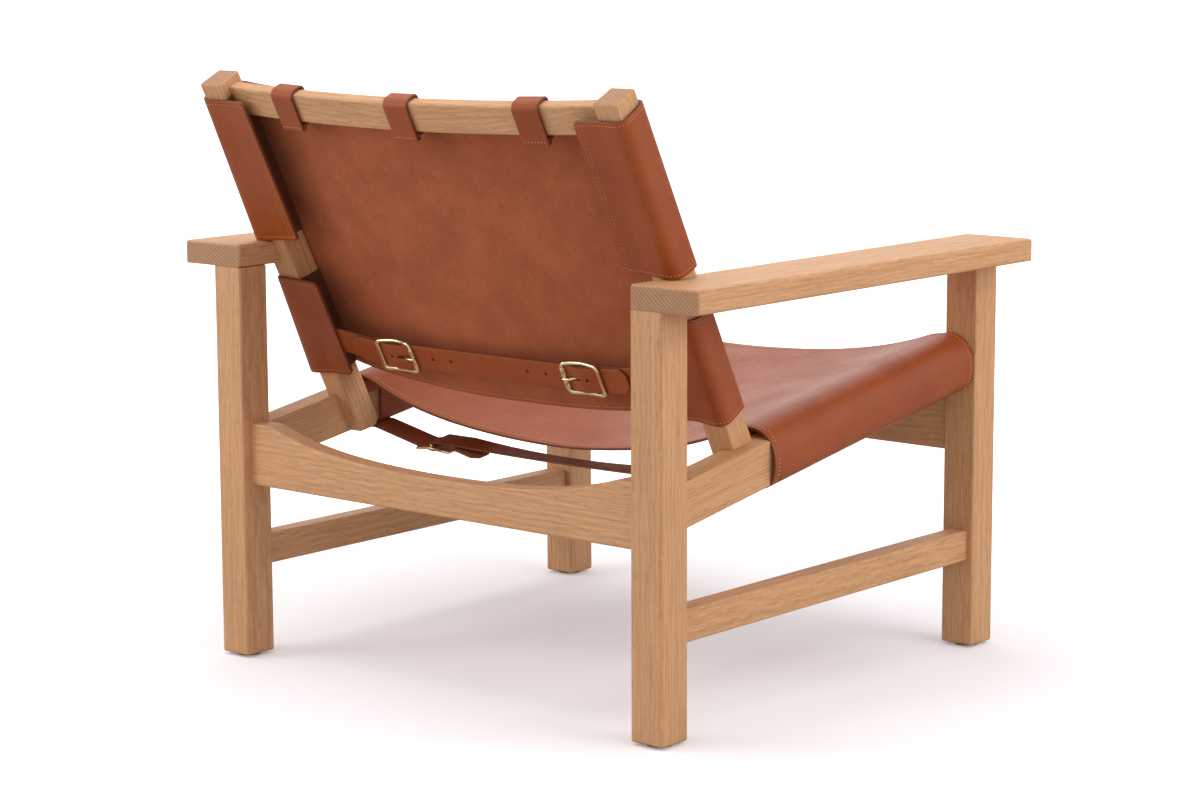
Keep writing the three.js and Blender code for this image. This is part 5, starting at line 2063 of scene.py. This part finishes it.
class CHAIR_OT_seat_seams(ChairOperator):
    """Sewing along the seat sling's front and rear edges"""

    bl_idname = "chair.seat_seams"
    bl_label = "Seat seams"
    thread = 1.5
    past_flap = 0.01

    def execute(self, context):
        seams, hides = sizes("seams"), sizes("hides")
        shape = SeatShape()
        columns = shape.columns
        limit = shape.inner + self.past_flap
        first = [p.x < -limit and p.y > -rail_drop() for p in columns].index(True)
        places = []
        for y in (shape.rear - seams.seat_inset, shape.front + seams.seat_inset):
            line = []
            for i in range(first, len(columns) - first):
                out = facing(columns, i)
                normal = Vector((out.x, 0, out.y))
                line.append((shape.place(columns[i], y) + normal * (hides.hide / 2), normal))
            places += stitch_row(line)
        sew("seat_seam_edges", places, size=self.thread)
        return {"FINISHED"}


class CHAIR_OT_loop_seams(ChairOperator):
    """Sewing of the loops' feet"""

    bl_idname = "chair.loop_seams"
    bl_label = "Loop seams"
    thread = 1.3

    def execute(self, context):
        seams, hides = sizes("seams"), sizes("hides")
        shape = LoopShape()
        reach = hides.loop_width / 2 - seams.inset / 2
        places = []
        for x in loop_places():
            matrix = loop_matrix(x)
            face = shape.rear + hides.loop_hide / 2
            ends = [matrix @ Vector((u, face, shape.end + seams.inset)) for u in (-reach, reach)]
            places += stitch_row([(point, matrix.to_3x3() @ Y) for point in ends])
        sew("loop_seams", places, size=self.thread)
        return {"FINISHED"}


# Studio


class CHAIR_OT_stage(ChairOperator):
    """Pale floor, soft lamps and the camera"""

    bl_idname = "chair.stage"
    bl_label = "Stage"
    floor_size = 90
    glow_places = (0.6, 1.5)
    glow_levels = (0.20, 0.85)
    aim = Vector((0, 0, 0.4))

    def execute(self, context):
        self.floor()
        self.sky()
        self.lamps()
        self.camera()
        context.scene.view_settings.view_transform = "Standard"
        return {"FINISHED"}

    def floor(self):
        """A pale floor that keeps the shadow and glows to white further out."""
        floor = rename(primitive("plane", size=self.floor_size), "studio_floor")
        finish = Finish("studio_floor")
        colours = sizes("finishes")
        seen = finish.add("ShaderNodeLightPath").outputs["Is Camera Ray"]
        distance = finish.add("ShaderNodeVectorMath", {0: in_place(finish)}, operation="LENGTH")
        glow = finish.span(distance.outputs["Value"], *self.glow_places, *self.glow_levels)
        lit = finish.math("MULTIPLY", seen, glow)
        finish.surface(
            Base_Color=finish.blend(seen, rgba(colours.bounce), rgba(colours.floor)),
            Roughness=0.9, Specular_IOR_Level=0.1,
            Emission_Color=(1, 1, 1, 1), Emission_Strength=lit,
        )
        floor.data.materials.append(finish.material)

    def sky(self):
        """Even light, white where the camera sees it, also mirrored or through something."""
        world = bpy.data.worlds.new("studio_sky")
        nodes = Nodes(world)
        rays = nodes.add("ShaderNodeLightPath").outputs
        seen = rays["Is Camera Ray"]
        for ray in ("Is Glossy Ray", "Is Transmission Ray"):
            seen = nodes.math("MAXIMUM", seen, rays[ray])
        background = nodes.tree.nodes["Background"].inputs
        nodes.set(background["Color"], (1, 1, 1, 1))
        nodes.set(background["Strength"], nodes.span(seen, 0.0, 1.0, sizes("studio").sky, 1.0))
        bpy.context.scene.world = world

    def lamps(self):
        """Soft lamps round the chair."""
        studio = sizes("studio")
        self.lamp("key_lamp", studio.key, place=(0.4, 0.5, 2.6), size=2.4)
        self.lamp("side_lamp", studio.side, place=(-2.6, -0.4, 1.5), size=1.8)
        self.lamp("rear_lamp", studio.rear, place=(2.2, 2.5, 1.1), size=1.2)
        self.lamp("front_lamp", studio.front, place=(2.1, -2.4, 1.4), size=2.2)

    def lamp(self, name, power, place, size):
        """A square lamp that looks at the middle of the chair."""
        data = bpy.data.lights.new(name, "AREA")
        data.energy = power
        data.size = size
        lamp = add_object(name, data)
        lamp.location = place
        lamp.visible_camera = False
        lamp.rotation_euler = (self.aim - Vector(place)).to_track_quat("-Z", "Y").to_euler()

    def camera(self):
        """The camera of the photo."""
        studio = sizes("studio")
        data = bpy.data.cameras.new("photo_camera")
        data.lens = studio.lens
        data.sensor_width = 36
        data.clip_end = 200
        camera = add_object("photo_camera", data)
        ahead = Vector((
            math.sin(studio.yaw) * math.cos(studio.pitch),
            math.cos(studio.yaw) * math.cos(studio.pitch),
            math.sin(studio.pitch),
        ))
        right = ahead.cross(Z).normalized()
        up = right.cross(ahead)
        cos, sin = math.cos(studio.roll), math.sin(studio.roll)
        basis = Matrix((right * cos + up * sin, up * cos - right * sin, -ahead)).transposed().to_4x4()
        eye = (studio.eye_x, studio.eye_y + MIDDLE_Y, studio.eye_z)
        camera.matrix_world = Matrix.Translation(eye) @ basis
        bpy.context.scene.camera = camera


OPERATORS = (
    CHAIR_OT_legs,
    CHAIR_OT_armrests,
    CHAIR_OT_cross_rails,
    CHAIR_OT_seat_rails,
    CHAIR_OT_stretchers,
    CHAIR_OT_back_posts,
    CHAIR_OT_top_rail,
    CHAIR_OT_dowels_and_glides,
    CHAIR_OT_seat_sling,
    CHAIR_OT_back_sling,
    CHAIR_OT_sleeve_linings,
    CHAIR_OT_top_loops,
    CHAIR_OT_back_straps,
    CHAIR_OT_seat_straps,
    CHAIR_OT_buckle_frames,
    CHAIR_OT_buckle_prongs,
    CHAIR_OT_back_seams,
    CHAIR_OT_seat_seams,
    CHAIR_OT_loop_seams,
    CHAIR_OT_stage,
)


class CHAIR_PT_panel(bpy.types.Panel):
    """Lists the chair's pieces and sizes"""

    bl_label = "Sling Lounge Chair"
    bl_idname = "CHAIR_PT_panel"
    bl_space_type = "VIEW_3D"
    bl_region_type = "UI"
    bl_category = "Sling Chair"

    def draw(self, context):
        for operator in OPERATORS:
            self.layout.operator(operator.bl_idname)
        for group, kind in GROUPS.items():
            box = self.layout.box()
            box.label(text=kind.__doc__)
            for name in kind.__annotations__:
                box.prop(sizes(group), name)


CLASSES = (*GROUPS.values(), *OPERATORS, CHAIR_PT_panel)


def register():
    for kind in CLASSES:
        bpy.utils.register_class(kind)
    for group, kind in GROUPS.items():
        setattr(bpy.types.Scene, f"sling_chair_{group}", PointerProperty(type=kind))


def unregister():
    for group in GROUPS:
        delattr(bpy.types.Scene, f"sling_chair_{group}")
    for kind in reversed(CLASSES):
        bpy.utils.unregister_class(kind)


def main():
    register()
    for operator in OPERATORS:
        module, name = operator.bl_idname.split(".")
        getattr(getattr(bpy.ops, module), name)()
    put_down()


if __name__ == "__main__":
    main()
